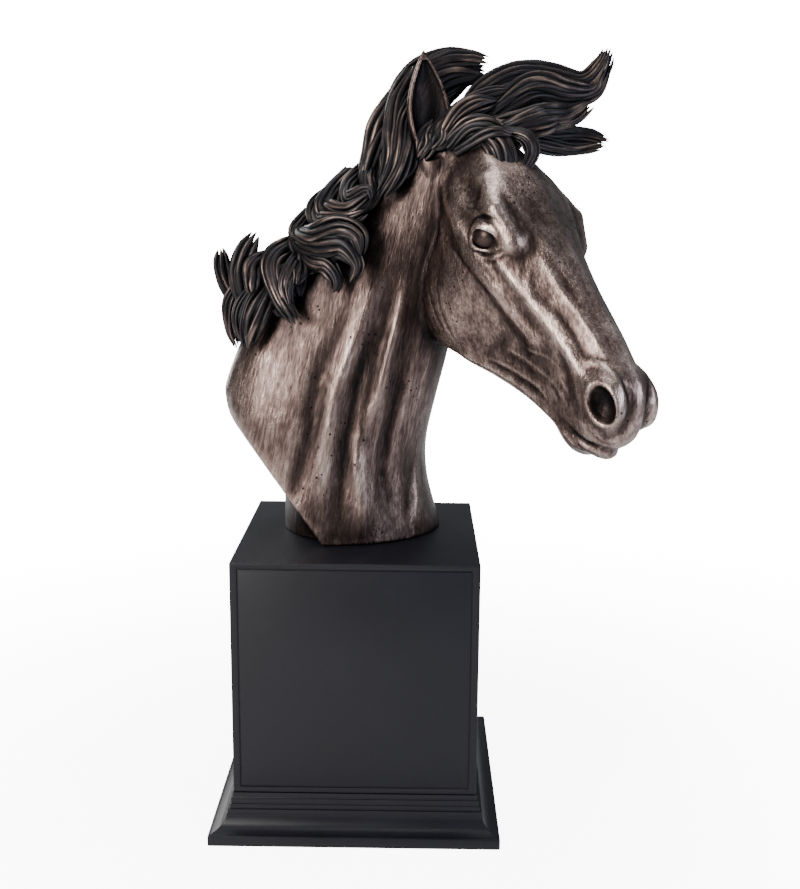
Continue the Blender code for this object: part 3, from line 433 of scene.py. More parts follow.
# Reads the form on a grid that is made three times finer twice, each time only near the surface, and
# lays one vertex in each cell that the surface crosses.
def skinMesh(form, low, high, step):
    def readForm(p):
        return np.concatenate([form(p[k:k + 300000]) for k in range(0, len(p), 300000)])

    low = np.asarray(low, float)
    n = np.ceil((np.asarray(high) - low) / (step * 9)).astype(int) + 1
    grid = np.stack(np.meshgrid(*[low[a] + step * 9 * np.arange(n[a]) for a in range(3)], indexing="ij"), -1)
    f, tried = readForm(grid.reshape(-1, 3)).reshape(n), 0
    for size, band in ((3, 14.0), (1, 2.6)):
        n = np.array(f.shape)
        for a in range(3):
            where = np.arange((n[a] - 1) * 3 + 1) / 3
            i = np.minimum(where.astype(int), n[a] - 2)
            t = (where - i).astype(f4).reshape([-1 if b == a else 1 for b in range(3)])
            f = np.take(f, i, a) * (1 - t) + np.take(f, i + 1, a) * t
        near = np.argwhere(np.abs(f) < band * step)
        f[tuple(near.T)] = readForm(near * (size * step) + low)
        tried += len(near)
    say(f"skin read at {tried} places")
    inside = f < 0
    around = sum(inside[i:f.shape[0] - 1 + i, j:f.shape[1] - 1 + j, k:f.shape[2] - 1 + k].astype(np.int8)
                 for i in (0, 1) for j in (0, 1) for k in (0, 1))
    cells = np.argwhere((around > 0) & (around < 8))
    number = -np.ones(around.shape, np.int64)
    number[tuple(cells.T)] = np.arange(len(cells))
    total, count = np.zeros((len(cells), 3)), np.zeros(len(cells))
    for a in range(3):
        b, c = [k for k in range(3) if k != a]
        for u in (0, 1):
            for v in (0, 1):
                start = cells.copy()
                start[:, b] += u
                start[:, c] += v
                end = start.copy()
                end[:, a] += 1
                fa, fb = f[tuple(start.T)], f[tuple(end.T)]
                m = (fa < 0) != (fb < 0)
                d = (start - cells).astype(float)
                d[:, a] += fa / (fa - fb + 1e-30)
                total[m] += d[m]
                count[m] += 1
    vertices = (cells + total / count[:, None]) * step + low
    quads = []
    for a in range(3):
        b, c = (a + 1) % 3, (a + 2) % 3
        lower, upper = [slice(None)] * 3, [slice(None)] * 3
        lower[a], upper[a] = slice(0, -1), slice(1, None)
        edges = np.argwhere(inside[tuple(lower)] != inside[tuple(upper)])
        quad = []
        for du, dv in ((-1, -1), (0, -1), (0, 0), (-1, 0)):
            at = edges.copy()
            at[:, b] += du
            at[:, c] += dv
            quad.append(number[tuple(at.T)])
        quad = np.stack(quad, 1)
        outward = inside[tuple(edges.T)]
        quad[~outward] = quad[~outward][:, ::-1]
        quads.append(quad)
    # each vertex is drawn onto the true surface, along the slope of its cell
    corner = {(i, j, k): f[cells[:, 0] + i, cells[:, 1] + j, cells[:, 2] + k]
              for i in (0, 1) for j in (0, 1) for k in (0, 1)}
    slope = np.stack([sum(v if key[a] else -v for key, v in corner.items()) for a in range(3)], 1) / (4 * step)
    for turn in range(2):
        move = -slope * (readForm(vertices) / ((slope ** 2).sum(1) + .05))[:, None]
        far = np.linalg.norm(move, axis=1, keepdims=True)
        vertices = vertices + move * np.minimum(1, step * .4 / (far + 1e-9))
    return vertices, np.concatenate(quads)


# Locks of the mane and forelock: middle line (x, y, height above the plinth), half width, strands.
clumps = {
    "crestHigh": (((37, 0, 306), (31, 2, 333), (44, 4, 359), (66, 6, 373), (84, 6, 374),
                   (98, 6, 371)), 12, 4),
    "crestLow": (((40, -6, 299), (40, -4, 325), (52, 0, 348), (70, 4, 361), (87, 6, 364),
                  (98, 6, 363)), 10, 3),
    "crestBack": (((62, 6, 314), (60, 10, 341), (71, 12, 358), (80, 12, 370), (88, 12, 380)), 9, 3),
    "fallFront": (((41, 4, 365), (30, -6, 343), (26, -16, 319), (24, -28, 298), (16, -38, 276)), 9, 3),
    "fallMid": (((49, -2, 351), (38, -14, 328), (33, -28, 305), (27, -36, 286), (16, -40, 268)), 8, 3),
    "fallBack": (((33, 8, 355), (21, 2, 327), (12, -6, 303), (0, -16, 279)), 11, 3),
    "tierTop": (((-7, 4, 289), (-20, -8, 275), (-26, -22, 262), (-8, -38, 259), (10, -46, 273)), 8, 3),
    "tierIn": (((4, -2, 292), (-7, -16, 279), (-7, -32, 268), (6, -42, 274), (11, -47, 268)), 7, 3),
    "tierLow": (((-19, 2, 275), (-34, -10, 262), (-30, -26, 251), (-9, -40, 253), (8, -46, 262)), 7, 3),
    "fanTop": (((-39, 4, 257), (-48, -10, 243), (-36, -28, 239), (-15, -42, 246), (0, -49, 241),
                (3, -51, 227)), 9, 3),
    "fanMid": (((-43, 2, 249), (-48, -16, 234), (-31, -34, 230), (-12, -46, 233), (-1, -51, 220),
                (-8, -49, 207)), 9, 3),
    "fanLow": (((-46, -6, 234), (-38, -28, 224), (-24, -40, 220), (-17, -45, 209), (-18, -45, 198)), 7, 3),
    "sweepTop": (((-41, 0, 237), (-58, -10, 228), (-66, -24, 216), (-60, -38, 193), (-46, -45, 174)), 9, 3),
    "sweepLow": (((-44, -10, 228), (-50, -26, 218), (-55, -37, 203), (-52, -43, 188)), 7, 3),
    "sweepTuft": (((-48, -18, 225), (-45, -31, 214), (-49, -39, 203)), 5, 2),
    "flickHigh": (((-91, -6, 188), (-95, -8, 209), (-91, -6, 226), (-80, -4, 244)), 7, 2),
    "flickBack": (((-98, 2, 184), (-106, 2, 201), (-110, 2, 216), (-112, 2, 230)), 6, 2),
    "leafTuft": (((-69, -8, 224), (-81, -18, 217), (-83, -26, 207), (-81, -31, 196)), 6, 2),
    "hangOuter": (((-78, 2, 216), (-95, 0, 199), (-103, 0, 184), (-104, 2, 165), (-99, 2, 149)), 6, 3),
    "hangMid": (((-74, -10, 209), (-88, -16, 192), (-93, -19, 173), (-91, -17, 152)), 6, 3),
    "hangInner": (((-66, -22, 205), (-75, -31, 187), (-81, -33, 169), (-86, -30, 153)), 6, 2),
    "foreHigh": (((81, -8, 330), (95, -4, 345), (120, 2, 358), (145, 8, 361), (171, 8, 358),
                  (186, 8, 370), (193, 6, 383)), 13, 4),
    "foreMid": (((89, -14, 321), (110, -14, 336), (133, -8, 351), (159, -2, 349), (180, 4, 352),
                 (191, 4, 369)), 11, 4),
    "foreRoll": (((95, -20, 316), (117, -24, 322), (139, -24, 330), (162, -12, 331), (179, -1, 343)), 10, 3),
    "pollHigh": (((62, -26, 308), (67, -26, 318), (76, -24, 329), (89, -22, 338), (106, -16, 343)), 8, 3),
    "pollLow": (((66, -28, 308), (74, -30, 316), (84, -33, 322), (97, -36, 324), (110, -38, 320)), 7, 3),
    "pollFront": (((74, -32, 303), (82, -36, 308), (92, -40, 313), (103, -44, 316), (114, -42, 316)), 5, 2),
    "pollTop": (((60, -22, 316), (76, -16, 335), (96, -12, 346), (120, -10, 350)), 7, 3),
    "foreUnder": (((99, -22, 315), (120, -28, 321), (139, -26, 328), (153, -18, 334)), 9, 3),
    "tailHigh": (((123, -4, 319), (149, 6, 319), (173, 12, 318), (195, 12, 313)), 8, 3),
    "tailLow": (((124, -8, 313), (147, 2, 310), (170, 8, 308), (190, 10, 310)), 6, 3),
    "curlNear": (((89, -30, 322), (102, -40, 317), (110, -47, 304), (113, -51, 289),
                  (119, -51, 279)), 6, 3),
    "curlFar": (((107, -32, 320), (124, -40, 314), (129, -43, 303), (124, -47, 291),
                 (120, -49, 283)), 5, 3),
    "curlTuft": (((91, -36, 318), (101, -45, 308), (107, -51, 294), (110, -53, 280)), 6, 2),
}

# One object from vertices in metres; it sits at the origin, with its place in its mesh.
def makeObject(name, vertices, faces, smooth=True):
    mesh = bpy.data.meshes.new(name)
    rows = faces.tolist() if isinstance(faces, np.ndarray) else faces
    mesh.from_pydata(np.asarray(vertices, float).tolist(), [], rows)
    mesh.validate()
    mesh.update()
    if smooth:
        mesh.shade_smooth()
    return linked(name, mesh)


# Puts a mesh, lamp or camera into the scene.
def linked(name, data):
    made = bpy.data.objects.new(name, data)
    bpy.context.scene.collection.objects.link(made)
    return made


# From millimetres above the plinth to metres above the floor.
def placed(points):
    return np.asarray(points, float) * .001 * bustScale + np.array([0, 0, bustFoot])


def writeAttribute(mesh, name, values):
    layer = mesh.attributes.new(name, "FLOAT" if values.ndim == 1 else "FLOAT_VECTOR", "POINT")
    layer.data.foreach_set("value" if values.ndim == 1 else "vector", values.astype(f4).ravel())


# Swaps an object's mesh for the one its modifiers give, and removes them.
def bakeModifiers(made):
    bpy.context.view_layer.update()
    graph = bpy.context.evaluated_depsgraph_get()
    mesh = bpy.data.meshes.new_from_object(made.evaluated_get(graph), preserve_all_data_layers=True,
                                           depsgraph=graph)
    made.modifiers.clear()
    old, made.data = made.data, mesh
    bpy.data.meshes.remove(old)
    mesh.name = made.name


skinSettings = {
    "low": (-140, -190, -6), "high": (250, 110, 412),  # where the surface is looked for
    "cell": 1.15,           # grain of the carved surface, mm
    "triangles": 192000,
    "fineTurns": 5,         # how far the small and the large hollows are looked for
    "wideTurns": 70,
    # the way of hair and brush marks: what x, y and z give to the three of the pattern
    "neckGrain": [(1, 0, 0), (0, 1, 0), (-.18, 0, .16)],
    "headGrain": [(.30, 0, .5), (0, .8, 0), (-.22, 0, .7)],
    # how much the folds, the whole neck and the ears take or lose of the light tone: the folds get dark patina in
    # their grooves and a painted reflection on their ridges, the whole neck is painted darker as shade, and the
    # ears keep a heavier stain
    "foldPatinaAndSheen": 1 / 3.5, "foldSofter": 1.5, "farTone": .5, "neckPaintedShade": .5, "earTone": 2.6,
    "earReach": 120, "earNear": 1.5,
}


# How much each vertex stands out of (+) or lies below (-) its surroundings, near and far.
def hollows(vertices, quads, normals, turns):
    edges = np.concatenate([quads[:, [k, (k + 1) % 4]] for k in range(4)])
    a, b = np.concatenate([edges, edges[:, ::-1]]).T
    count = np.bincount(a, minlength=len(vertices)).astype(float)
    smooth, out, done = vertices.copy(), [], 0
    for stop in turns:
        for turn in range(done, stop):
            smooth = np.stack([np.bincount(a, smooth[b, k], len(vertices)) / count for k in range(3)], 1)
        done = stop
        out.append(((vertices - smooth) * normals).sum(1))
    return out


def makeSkin():
    s = skinSettings
    vertices, quads = skinMesh(skinForm, s["low"], s["high"], s["cell"])
    say(f"skin: {len(vertices)} vertices, {len(quads)} faces")
    diagonals = [vertices[quads[:, k + 2]] - vertices[quads[:, k]] for k in (0, 1)]
    normals = np.cross(*diagonals)
    total = np.stack([sum(np.bincount(quads[:, k], normals[:, a], len(vertices)) for k in range(4))
                      for a in range(3)], 1)
    normals = total / (np.linalg.norm(total, axis=1, keepdims=True) + 1e-9)
    fine, wide = hollows(vertices, quads, normals, (s["fineTurns"], s["wideTurns"]))
    q = (vertices - poll) @ headAxes(headTurn, headNod, headTilt)
    onHead = headForm((q / drawnHead).astype(f4)) * drawnHead < neckForm(vertices, chart)
    grain = np.where(onHead[:, None], q @ np.array(s["headGrain"]), vertices @ np.array(s["neckGrain"]))
    # the neck's folds: darker in their grooves as patina, lighter on their ridges as a painted reflection
    tone = reliefOf(vertices[:, [0, 2]], neckStrokes, 1.0, s["foldSofter"]) * s["foldPatinaAndSheen"]
    tone *= np.where(onHead, 0, 1) * np.where(vertices[:, 1] < 0, 1, s["farTone"])
    # the whole neck is painted darker, as shade
    tone -= np.where(onHead, 0, s["neckPaintedShade"])
    for ear in ears.values():  # the stain stays heavy on the ears
        near = (np.abs(vertices - np.asarray(ear["foot"], f4)) < s["earReach"]).all(1)
        tone[near] -= s["earTone"] * (earForm(vertices[near].astype(f4), ear) < s["earNear"])
    made = makeObject("bust_skin", placed(vertices), quads)
    for name, values in {"fineHollow": fine, "wideHollow": wide, "grain": grain, "tone": tone}.items():
        writeAttribute(made.data, name, values)
    thin = made.modifiers.new("lighten", "DECIMATE")
    thin.ratio = min(1, s["triangles"] / (2 * len(quads)))
    bakeModifiers(made)
    made.data.shade_smooth()
    say(f"skin thinned to {len(made.data.polygons)} triangles")
    return made


eyeSettings = {"rings": 40, "stain": -2.4}


def makeEyes():
    bm = bmesh.new()
    axes = headAxes(headTurn, headNod, headTilt)
    for side in (-1, 1):
        x, y, z = eyeCentre
        centre = poll + axes @ (np.array([x, y * side, z]) * drawnHead)
        place = Matrix.Translation(Vector(placed(centre)))
        bmesh.ops.create_uvsphere(bm, u_segments=2 * eyeSettings["rings"], v_segments=eyeSettings["rings"],
                                  radius=eyeSize * bustScale, matrix=place)
    mesh = bpy.data.meshes.new("eyeballs")
    bm.to_mesh(mesh)
    bm.free()
    mesh.shade_smooth()
    writeAttribute(mesh, "tone", np.full(len(mesh.vertices), eyeSettings["stain"]))
    return linked("eyeballs", mesh)


lockSettings = {
    "strands": 1.7,         # carved strands for each of the lock's own
    "sides": 11,
    "steps": 44,
    "flat": .85,            # a strand's depth for its width
    "groove": .55,          # depth of the grooves cut along it, for its radius
    "grooveLevel": .55,     # where in the pattern a groove begins
    "grooveAround": 2.2,    # how quickly the grooves change around a strand, and along it in each metre
    "grooveAlong": 32.0,
    "body": 1.995,           # width of the body under the strands, for its depth
    "bodyEnd": .92,         # where it ends along the lock
    "tip": .16,             # share of a strand that is drawn in to its end
}


# The strands of one lock for the eye: finer than in the solid, laid over a body that fills the lock.
def dressedLock(points, wide, strands, draw, outward=(0, -1.0, 0)):
    s = lockSettings
    line, t = through(points, s["steps"]), np.linspace(0, 1, s["steps"])
    along = np.gradient(line, axis=0)
    along /= np.linalg.norm(along, axis=1, keepdims=True)
    out = np.array(outward) - along * (along @ np.array(outward))[:, None]
    out /= np.linalg.norm(out, axis=1, keepdims=True)
    across = np.cross(along, out)
    swell = np.sin(np.pi * t)
    many = max(3, int(round(strands * s["strands"])))
    wander, made = draw.uniform(0, 6.28, 3), []
    for j in range(many):
        o = (j - (many - 1) / 2) / ((many - 1) / 2)
        o += draw.uniform(-.10, .10)
        phase = draw.uniform(0, 6.28)
        reach = draw.uniform(.92, 1.0) if abs(o) > .3 else draw.uniform(.96, 1.0)
        fan = .70 + .38 * np.sin(np.pi * t * .95) - .36 * t ** 2.5
        at = np.stack([np.interp(t * reach, t, line[:, a]) for a in range(3)], 1)
        sideways = o * wide * fan * .86
        sideways += wide * (.12 * np.sin(wander[0] + t * 7 + o) + .09 * np.sin(phase + t * 8))
        lift = .06 * np.sin(wander[1] + t * 6 + 2 * o) + .05 * np.sin(phase + t * 8)
        lift = wide * (.30 * (1 - o * o) + lift)
        at = at + across * sideways[:, None] + out * lift[:, None]
        taper = (.78 + .3 * swell) * np.clip((1 - t) / s["tip"], .02, 1) ** .5
        radius = wide / many * draw.uniform(1.15, 1.75) * taper
        made.append((at, radius, out, 1.0))
    body = wide * .42 * (.8 + .25 * swell) * np.clip((1 - t) / .34, .04, 1) ** .8
    at = np.stack([np.interp(t * s["bodyEnd"], t, line[:, a]) for a in range(3)], 1)
    made.append((at + out * wide * .02, body, out, s["body"]))
    return made


# Plainer locks rooted along the crest: those of the near side lie under the big locks, the others
# fall down the far side. Each row: first and last place up the neck, how many, side, length, half width.
rootRows = [(.52, .86, 10, -1, .62, 8), (.49, .95, 12, 1, .95, 9), (.54, .86, 8, 0, .30, 8)]
# Along a root lock: share of its length, place between throat and crest, mm off the skin.
rootLine = [(0, .98, 3), (.35, .84, 5), (.7, .62, 5), (1, .45, 3)]


def rootLocks(draw):
    made = []
    for first, last, count, side, length, wide in rootRows:
        for i in range(count):
            up = first + (last - first) * i / (count - 1)
            points = []
            for share, over, lift in rootLine:
                over = .98 - (.98 - over) * length if side else .97 - .1 * share
                drop = up - (.077 if side else .144) * share * length - .01 * share * draw.uniform(-1, 1)
                rise = lift if side else 5 + 3 * share
                points.append(neckSkin(chart, max(drop, .02), over, side or -.4, rise))
            made += dressedLock(points, wide, 3, draw, (0, side or -1.0, .2))
    return made


# The strands as bare lines, each point with its radius, its outward way and its own number.
def strandLines(name, strands):
    points, edges = [], []
    kept = {"thick": [], "out": [], "broad": [], "seed": []}
    for number, (line, size, way, width) in enumerate(strands):
        first = len(points)
        points += placed(line).tolist()
        edges += [(first + i, first + i + 1) for i in range(len(line) - 1)]
        kept["thick"] += (size * .001 * bustScale).tolist()
        kept["out"] += way.tolist()
        kept["broad"] += [width] * len(line)
        kept["seed"] += [number * 3.7] * len(line)
    mesh = bpy.data.meshes.new(name)
    mesh.from_pydata(points, edges, [])
    for key, values in kept.items():
        writeAttribute(mesh, key, np.array(values))
    return linked(name, mesh)


# Adds one node to a tree. Inputs go by name or number: a value, a socket, or a node for its first output.
# Settings go by name, and stops are the places and colours or levels of a colour ramp.
def addNode(tree, kind, inputs=None, stops=None, **settings):
    made = tree.nodes.new(kind)
    for key, value in settings.items():
        setattr(made, key, value)
    for key, value in (inputs or {}).items():
        if isinstance(value, bpy.types.Node):
            value = value.outputs[0]
        if isinstance(value, bpy.types.NodeSocket):
            tree.links.new(value, made.inputs[key])
        else:
            made.inputs[key].default_value = value
    for i, (at, colour) in enumerate(stops or []):
        elements = made.color_ramp.elements
        while i == 0 and len(elements) > 1:
            elements.remove(elements[-1])
        spot = elements[0] if i == 0 else elements.new(at)
        spot.position = at
        spot.color = hexColour(colour) if isinstance(colour, str) else (colour, colour, colour, 1)
    return made


# An sRGB hex colour as linear light.
def hexColour(text):
    parts = [int(text[i:i + 2], 16) / 255 for i in (1, 3, 5)]
    return [c / 12.92 if c <= .04045 else ((c + .055) / 1.055) ** 2.4 for c in parts] + [1.0]


# The nodes that most trees here use.
number, vector, noise, ramp = "ShaderNodeMath", "ShaderNodeVectorMath", "ShaderNodeTexNoise", "ShaderNodeValToRGB"


# Geometry Nodes tree that sweeps each line into a grooved strand with a drawn-in end.
def strandTree(material):
    s = lockSettings
    tree = bpy.data.node_groups.new("carved strands", "GeometryNodeTree")
    face = tree.interface
    face.new_socket("Geometry", in_out="INPUT", socket_type="NodeSocketGeometry")
    sizes = {"Sides": ("Int", s["sides"]), "Flat": ("Float", s["flat"]), "Groove": ("Float", s["groove"])}
    for key, (kind, value) in sizes.items():
        face.new_socket(key, in_out="INPUT", socket_type="NodeSocket" + kind).default_value = value
    face.new_socket("Geometry", in_out="OUTPUT", socket_type="NodeSocketGeometry")
    given = addNode(tree, "NodeGroupInput").outputs
    own = {}
    for key, kind in {"thick": "FLOAT", "broad": "FLOAT", "seed": "FLOAT", "out": "FLOAT_VECTOR"}.items():
        own[key] = addNode(tree, "GeometryNodeInputNamedAttribute", {"Name": key}, data_type=kind)
    curve = addNode(tree, "GeometryNodeMeshToCurve", {"Mesh": given["Geometry"]})
    curve = addNode(tree, "GeometryNodeSetCurveNormal", {"Curve": curve, "Normal": own["out"]}, mode="FREE")
    ring = addNode(tree, "GeometryNodeCurvePrimitiveCircle", {"Resolution": given["Sides"], "Radius": 1.0},
                   mode="RADIUS")
    length = addNode(tree, "GeometryNodeSplineParameter").outputs["Length"]
    place = addNode(tree, "GeometryNodeInputPosition").outputs[0]
    held = {}
    for key, kind, line, value in (("length", "FLOAT", curve, length), ("around", "VECTOR", ring, place)):
        held[key] = addNode(tree, "GeometryNodeCaptureAttribute", {"Geometry": line}, domain="POINT")
        held[key].capture_items.new(kind, key)
        tree.links.new(value, held[key].inputs[key])
    body = addNode(tree, "GeometryNodeCurveToMesh", {
        "Curve": held["length"].outputs["Geometry"], "Profile Curve": held["around"].outputs["Geometry"],
        "Scale": own["thick"], "Fill Caps": True})
    # broader or flatter: each point moves across the strand, and towards its middle on the outward way
    normal = addNode(tree, "GeometryNodeInputNormal")
    facing = addNode(tree, vector, {0: normal, 1: own["out"]}, operation="DOT_PRODUCT").outputs["Value"]
    flatter = addNode(tree, number, {0: given["Flat"], 1: 1.0}, operation="SUBTRACT")
    broader = addNode(tree, number, {0: own["broad"], 1: 1.0}, operation="SUBTRACT")
    squeeze = addNode(tree, number, {0: facing, 1: own["thick"]}, operation="MULTIPLY")
    squeeze = addNode(tree, number, {0: squeeze, 1: flatter}, operation="MULTIPLY")
    widen = addNode(tree, number, {0: own["thick"], 1: broader}, operation="MULTIPLY")
    raised = addNode(tree, vector, {0: own["out"], "Scale": facing}, operation="SCALE")
    sideways = addNode(tree, vector, {0: normal, 1: raised}, operation="SUBTRACT")
    # grooves: noise that changes quickly around the strand and slowly along it
    around = addNode(tree, "ShaderNodeSeparateXYZ", {0: held["around"].outputs["around"]}).outputs
    run = {}
    for axis, value, speed in ((0, around[0], s["grooveAround"]), (1, around[1], s["grooveAround"]),
                               (2, held["length"].outputs["length"], s["grooveAlong"])):
        run[axis] = addNode(tree, number, {0: value, 1: speed}, operation="MULTIPLY")
    run = addNode(tree, "ShaderNodeCombineXYZ", run)
    grooves = addNode(tree, noise, {"Vector": run, "W": own["seed"], "Scale": 1.0, "Detail": 1.5},
                      noise_dimensions="4D")
    depth = addNode(tree, number, {0: own["thick"], 1: given["Groove"]}, operation="MULTIPLY")
    cut = addNode(tree, number, {0: grooves, 1: s["grooveLevel"]}, operation="SUBTRACT")
    for factor in (2.0, depth):
        cut = addNode(tree, number, {0: cut, 1: factor}, operation="MULTIPLY")
    moves = [addNode(tree, vector, {0: way, "Scale": far}, operation="SCALE")
             for way, far in ((sideways, widen), (own["out"], squeeze), (normal, cut))]
    move = addNode(tree, vector, {0: moves[0], 1: moves[1]}, operation="ADD")
    move = addNode(tree, vector, {0: move, 1: moves[2]}, operation="ADD")
    for key, value in {"crest": facing, "groove": grooves}.items():
        body = addNode(tree, "GeometryNodeStoreNamedAttribute", {"Geometry": body, "Name": key, "Value": value},
                       data_type="FLOAT", domain="POINT")
    body = addNode(tree, "GeometryNodeSetPosition", {"Geometry": body, "Offset": move})
    for kind in ("GeometryNodeSetShadeSmooth", "GeometryNodeRealizeInstances"):
        body = addNode(tree, kind, {"Geometry": body})
    body = addNode(tree, "GeometryNodeSetMaterial", {"Geometry": body, "Material": material})
    addNode(tree, "NodeGroupOutput", {"Geometry": body})
    return tree


def sweepLocks(name, strands, tree):
    made = strandLines(name, strands)
    sweep = made.modifiers.new("sweep", "NODES")
    sweep.node_group = tree
    for item in tree.interface.items_tree:
        if item.in_out == "INPUT" and item.name in ("Sides", "Flat", "Groove"):
            sweep[item.identifier] = item.default_value
    bakeModifiers(made)
    say(f"{name}: {len(strands)} strands, {len(made.data.polygons)} faces")
    return made


plinthSettings = {
    "boxWidth": .190, "boxFoot": .0367, "boxTop": .2237, "boxSoft": .0008,
    "panelSide": .0055, "panelTop": .0042, "panelFoot": .0045, "panelLine": .0012, "panelDeep": .0011,
    "baseWidth": .227, "slab": .0090, "slabEdge": ((.0012, 0), (.0003, .0003), (0, .0012)), "mould": .0364,
    # the moulding from the slab's edge to the box: share of the way in, share of the rise
    "moulding": [(.06, .00), (.12, .005), (.18, .02), (.29, .045), (.40, .08), (.485, .12), (.56, .17),
                 (.615, .225), (.665, .29), (.70, .36), (.72, .43), (.745, .44), (.765, .55), (.84, .56),
                 (.855, .60), (.865, .68), (.90, .69), (.90, .85), (.94, .855), (.96, .87), (.97, 1.0)],
}


# A rounded square as points, so that corners stay soft all the way up.
def squareRing(half, soft, z, steps=4):
    ring = []
    for k, (sx, sy) in enumerate(((1, 1), (-1, 1), (-1, -1), (1, -1))):
        for i in range(steps + 1):
            a = radians(90 * k + 90 * i / steps)
            ring.append((sx * (half - soft) + soft * cos(a), sy * (half - soft) + soft * sin(a), z))
    return ring


def ringStack(name, rings):
    n = len(rings[0])
    vertices = [p for ring in rings for p in ring]
    faces = [tuple(range(n - 1, -1, -1))]
    for i in range(len(rings) - 1):
        low, high = n * i, n * (i + 1)
        faces += [(low + k, low + (k + 1) % n, high + (k + 1) % n, high + k) for k in range(n)]
    faces.append(tuple(range(n * (len(rings) - 1), n * len(rings))))
    made = makeObject(name, vertices, faces)
    made.data.set_sharp_from_angle(angle=radians(28))
    return made


def makeBase():
    s = plinthSettings
    half, inner, slab = s["baseWidth"] / 2, s["boxWidth"] / 2, s["slab"]
    rings = [squareRing(half - inward, .001, rise) for inward, rise in s["slabEdge"]]
    rings.append(squareRing(half, .001, slab - .0012))
    rings.append(squareRing(half - .0004, .001, slab - .0003))
    rings.append(squareRing(half - .0012, .001, slab))
    for inward, rise in s["moulding"]:
        size = half + (inner - half) * inward
        rings.append(squareRing(size, .0006, slab + (s["mould"] - slab) * rise + .00001))
    return ringStack("plinth_base_painted", rings)


# The frame line of the front panel as a thin bar to cut with: four corners, outer and inner, front and back.
def panelCutter(half):
    s = plinthSettings
    x, z0, z1 = half - s["panelSide"], s["boxFoot"] + s["panelFoot"], s["boxTop"] - s["panelTop"]
    cutter, corners = bmesh.new(), {}
    for key, inward in (("outer", 0), ("inner", s["panelLine"])):
        xs, low, high = x - inward, z0 + inward, z1 - inward
        for side, y in (("front", -half - .003), ("back", -half + s["panelDeep"])):
            corners[key, side] = [cutter.verts.new((px, y, pz))
                                  for px, pz in ((-xs, low), (xs, low), (xs, high), (-xs, high))]
    round_ = [("outer", "front"), ("outer", "back"), ("inner", "back"), ("inner", "front")]
    for k in range(4):
        n = (k + 1) % 4
        for i in range(4):
            a, b = corners[round_[i]], corners[round_[(i + 1) % 4]]
            cutter.faces.new((a[k], a[n], b[n], b[k]))
    bmesh.ops.recalc_face_normals(cutter, faces=cutter.faces)
    mesh = bpy.data.meshes.new("panel line")
    cutter.to_mesh(mesh)
    cutter.free()
    return linked("panel line", mesh)


def makeBox():
    s = plinthSettings
    half, r = s["boxWidth"] / 2, s["boxSoft"]
    turns = [radians(90 * step / 4) for step in range(5)]
    rings = [squareRing(half - r + r * sin(a), r, s["boxFoot"] + r - r * cos(a)) for a in turns]
    rings += [squareRing(half - r + r * cos(a), r, s["boxTop"] - r + r * sin(a)) for a in turns]
    made = ringStack("plinth_box_painted", rings)
    tool = panelCutter(half)
    cut = made.modifiers.new("panel line", "BOOLEAN")
    cut.object, cut.operation = tool, "DIFFERENCE"
    bakeModifiers(made)
    bpy.data.objects.remove(tool)
    soft = made.modifiers.new("soft line", "BEVEL")
    soft.width, soft.segments, soft.limit_method, soft.angle_limit = .0002, 2, "ANGLE", radians(50)
    bakeModifiers(made)
    made.data.shade_smooth()
    made.data.set_sharp_from_angle(angle=radians(40))
    return made


def newMaterial(name):
    material = bpy.data.materials.new(name)
    material.use_nodes = True
    tree = material.node_tree
    tree.nodes.clear()
    shader = addNode(tree, "ShaderNodeBsdfPrincipled")
    addNode(tree, "ShaderNodeOutputMaterial", {"Surface": shader})
    return material, tree, shader


# Adds to a level each pattern's height over its middle, by its weight.
def weighed(tree, level, rows):
    for value, middle, weight in rows:
        over = addNode(tree, number, {0: value, 1: middle}, operation="SUBTRACT")
        over = addNode(tree, number, {0: over, 1: weight}, operation="MULTIPLY")
        level = addNode(tree, number, {0: level, 1: over}, operation="ADD")
    return level


bronzeSettings = {
    "stops": [(.02, "#070506"), (.24, "#201817"), (.50, "#453834"), (.72, "#776660"), (.98, "#b0a097")],
    "rough": [(.0, .44), (.45, .30), (1.0, .23)], "metallic": .88, "level": .45,
    # hollows: weight, and the least and the most that they give
    "hollows": {"fineHollow": (.6, -.4, .07), "wideHollow": (.10, -.32, .13)},
    "blotch": 24.0,         # stains of 40 mm
    "streak": .62,          # brush marks of 1.6 mm
    "broad": .13,           # their darker and lighter runs, 8 mm
    "speck": 900.0,         # bronze powder, 1 mm
    "pits": 210.0, "pitSize": .20, "pitFields": 33.0, "pitLevel": .60,
    "closed": .045,         # how far the painted shade in creases and between parts reaches, m
}
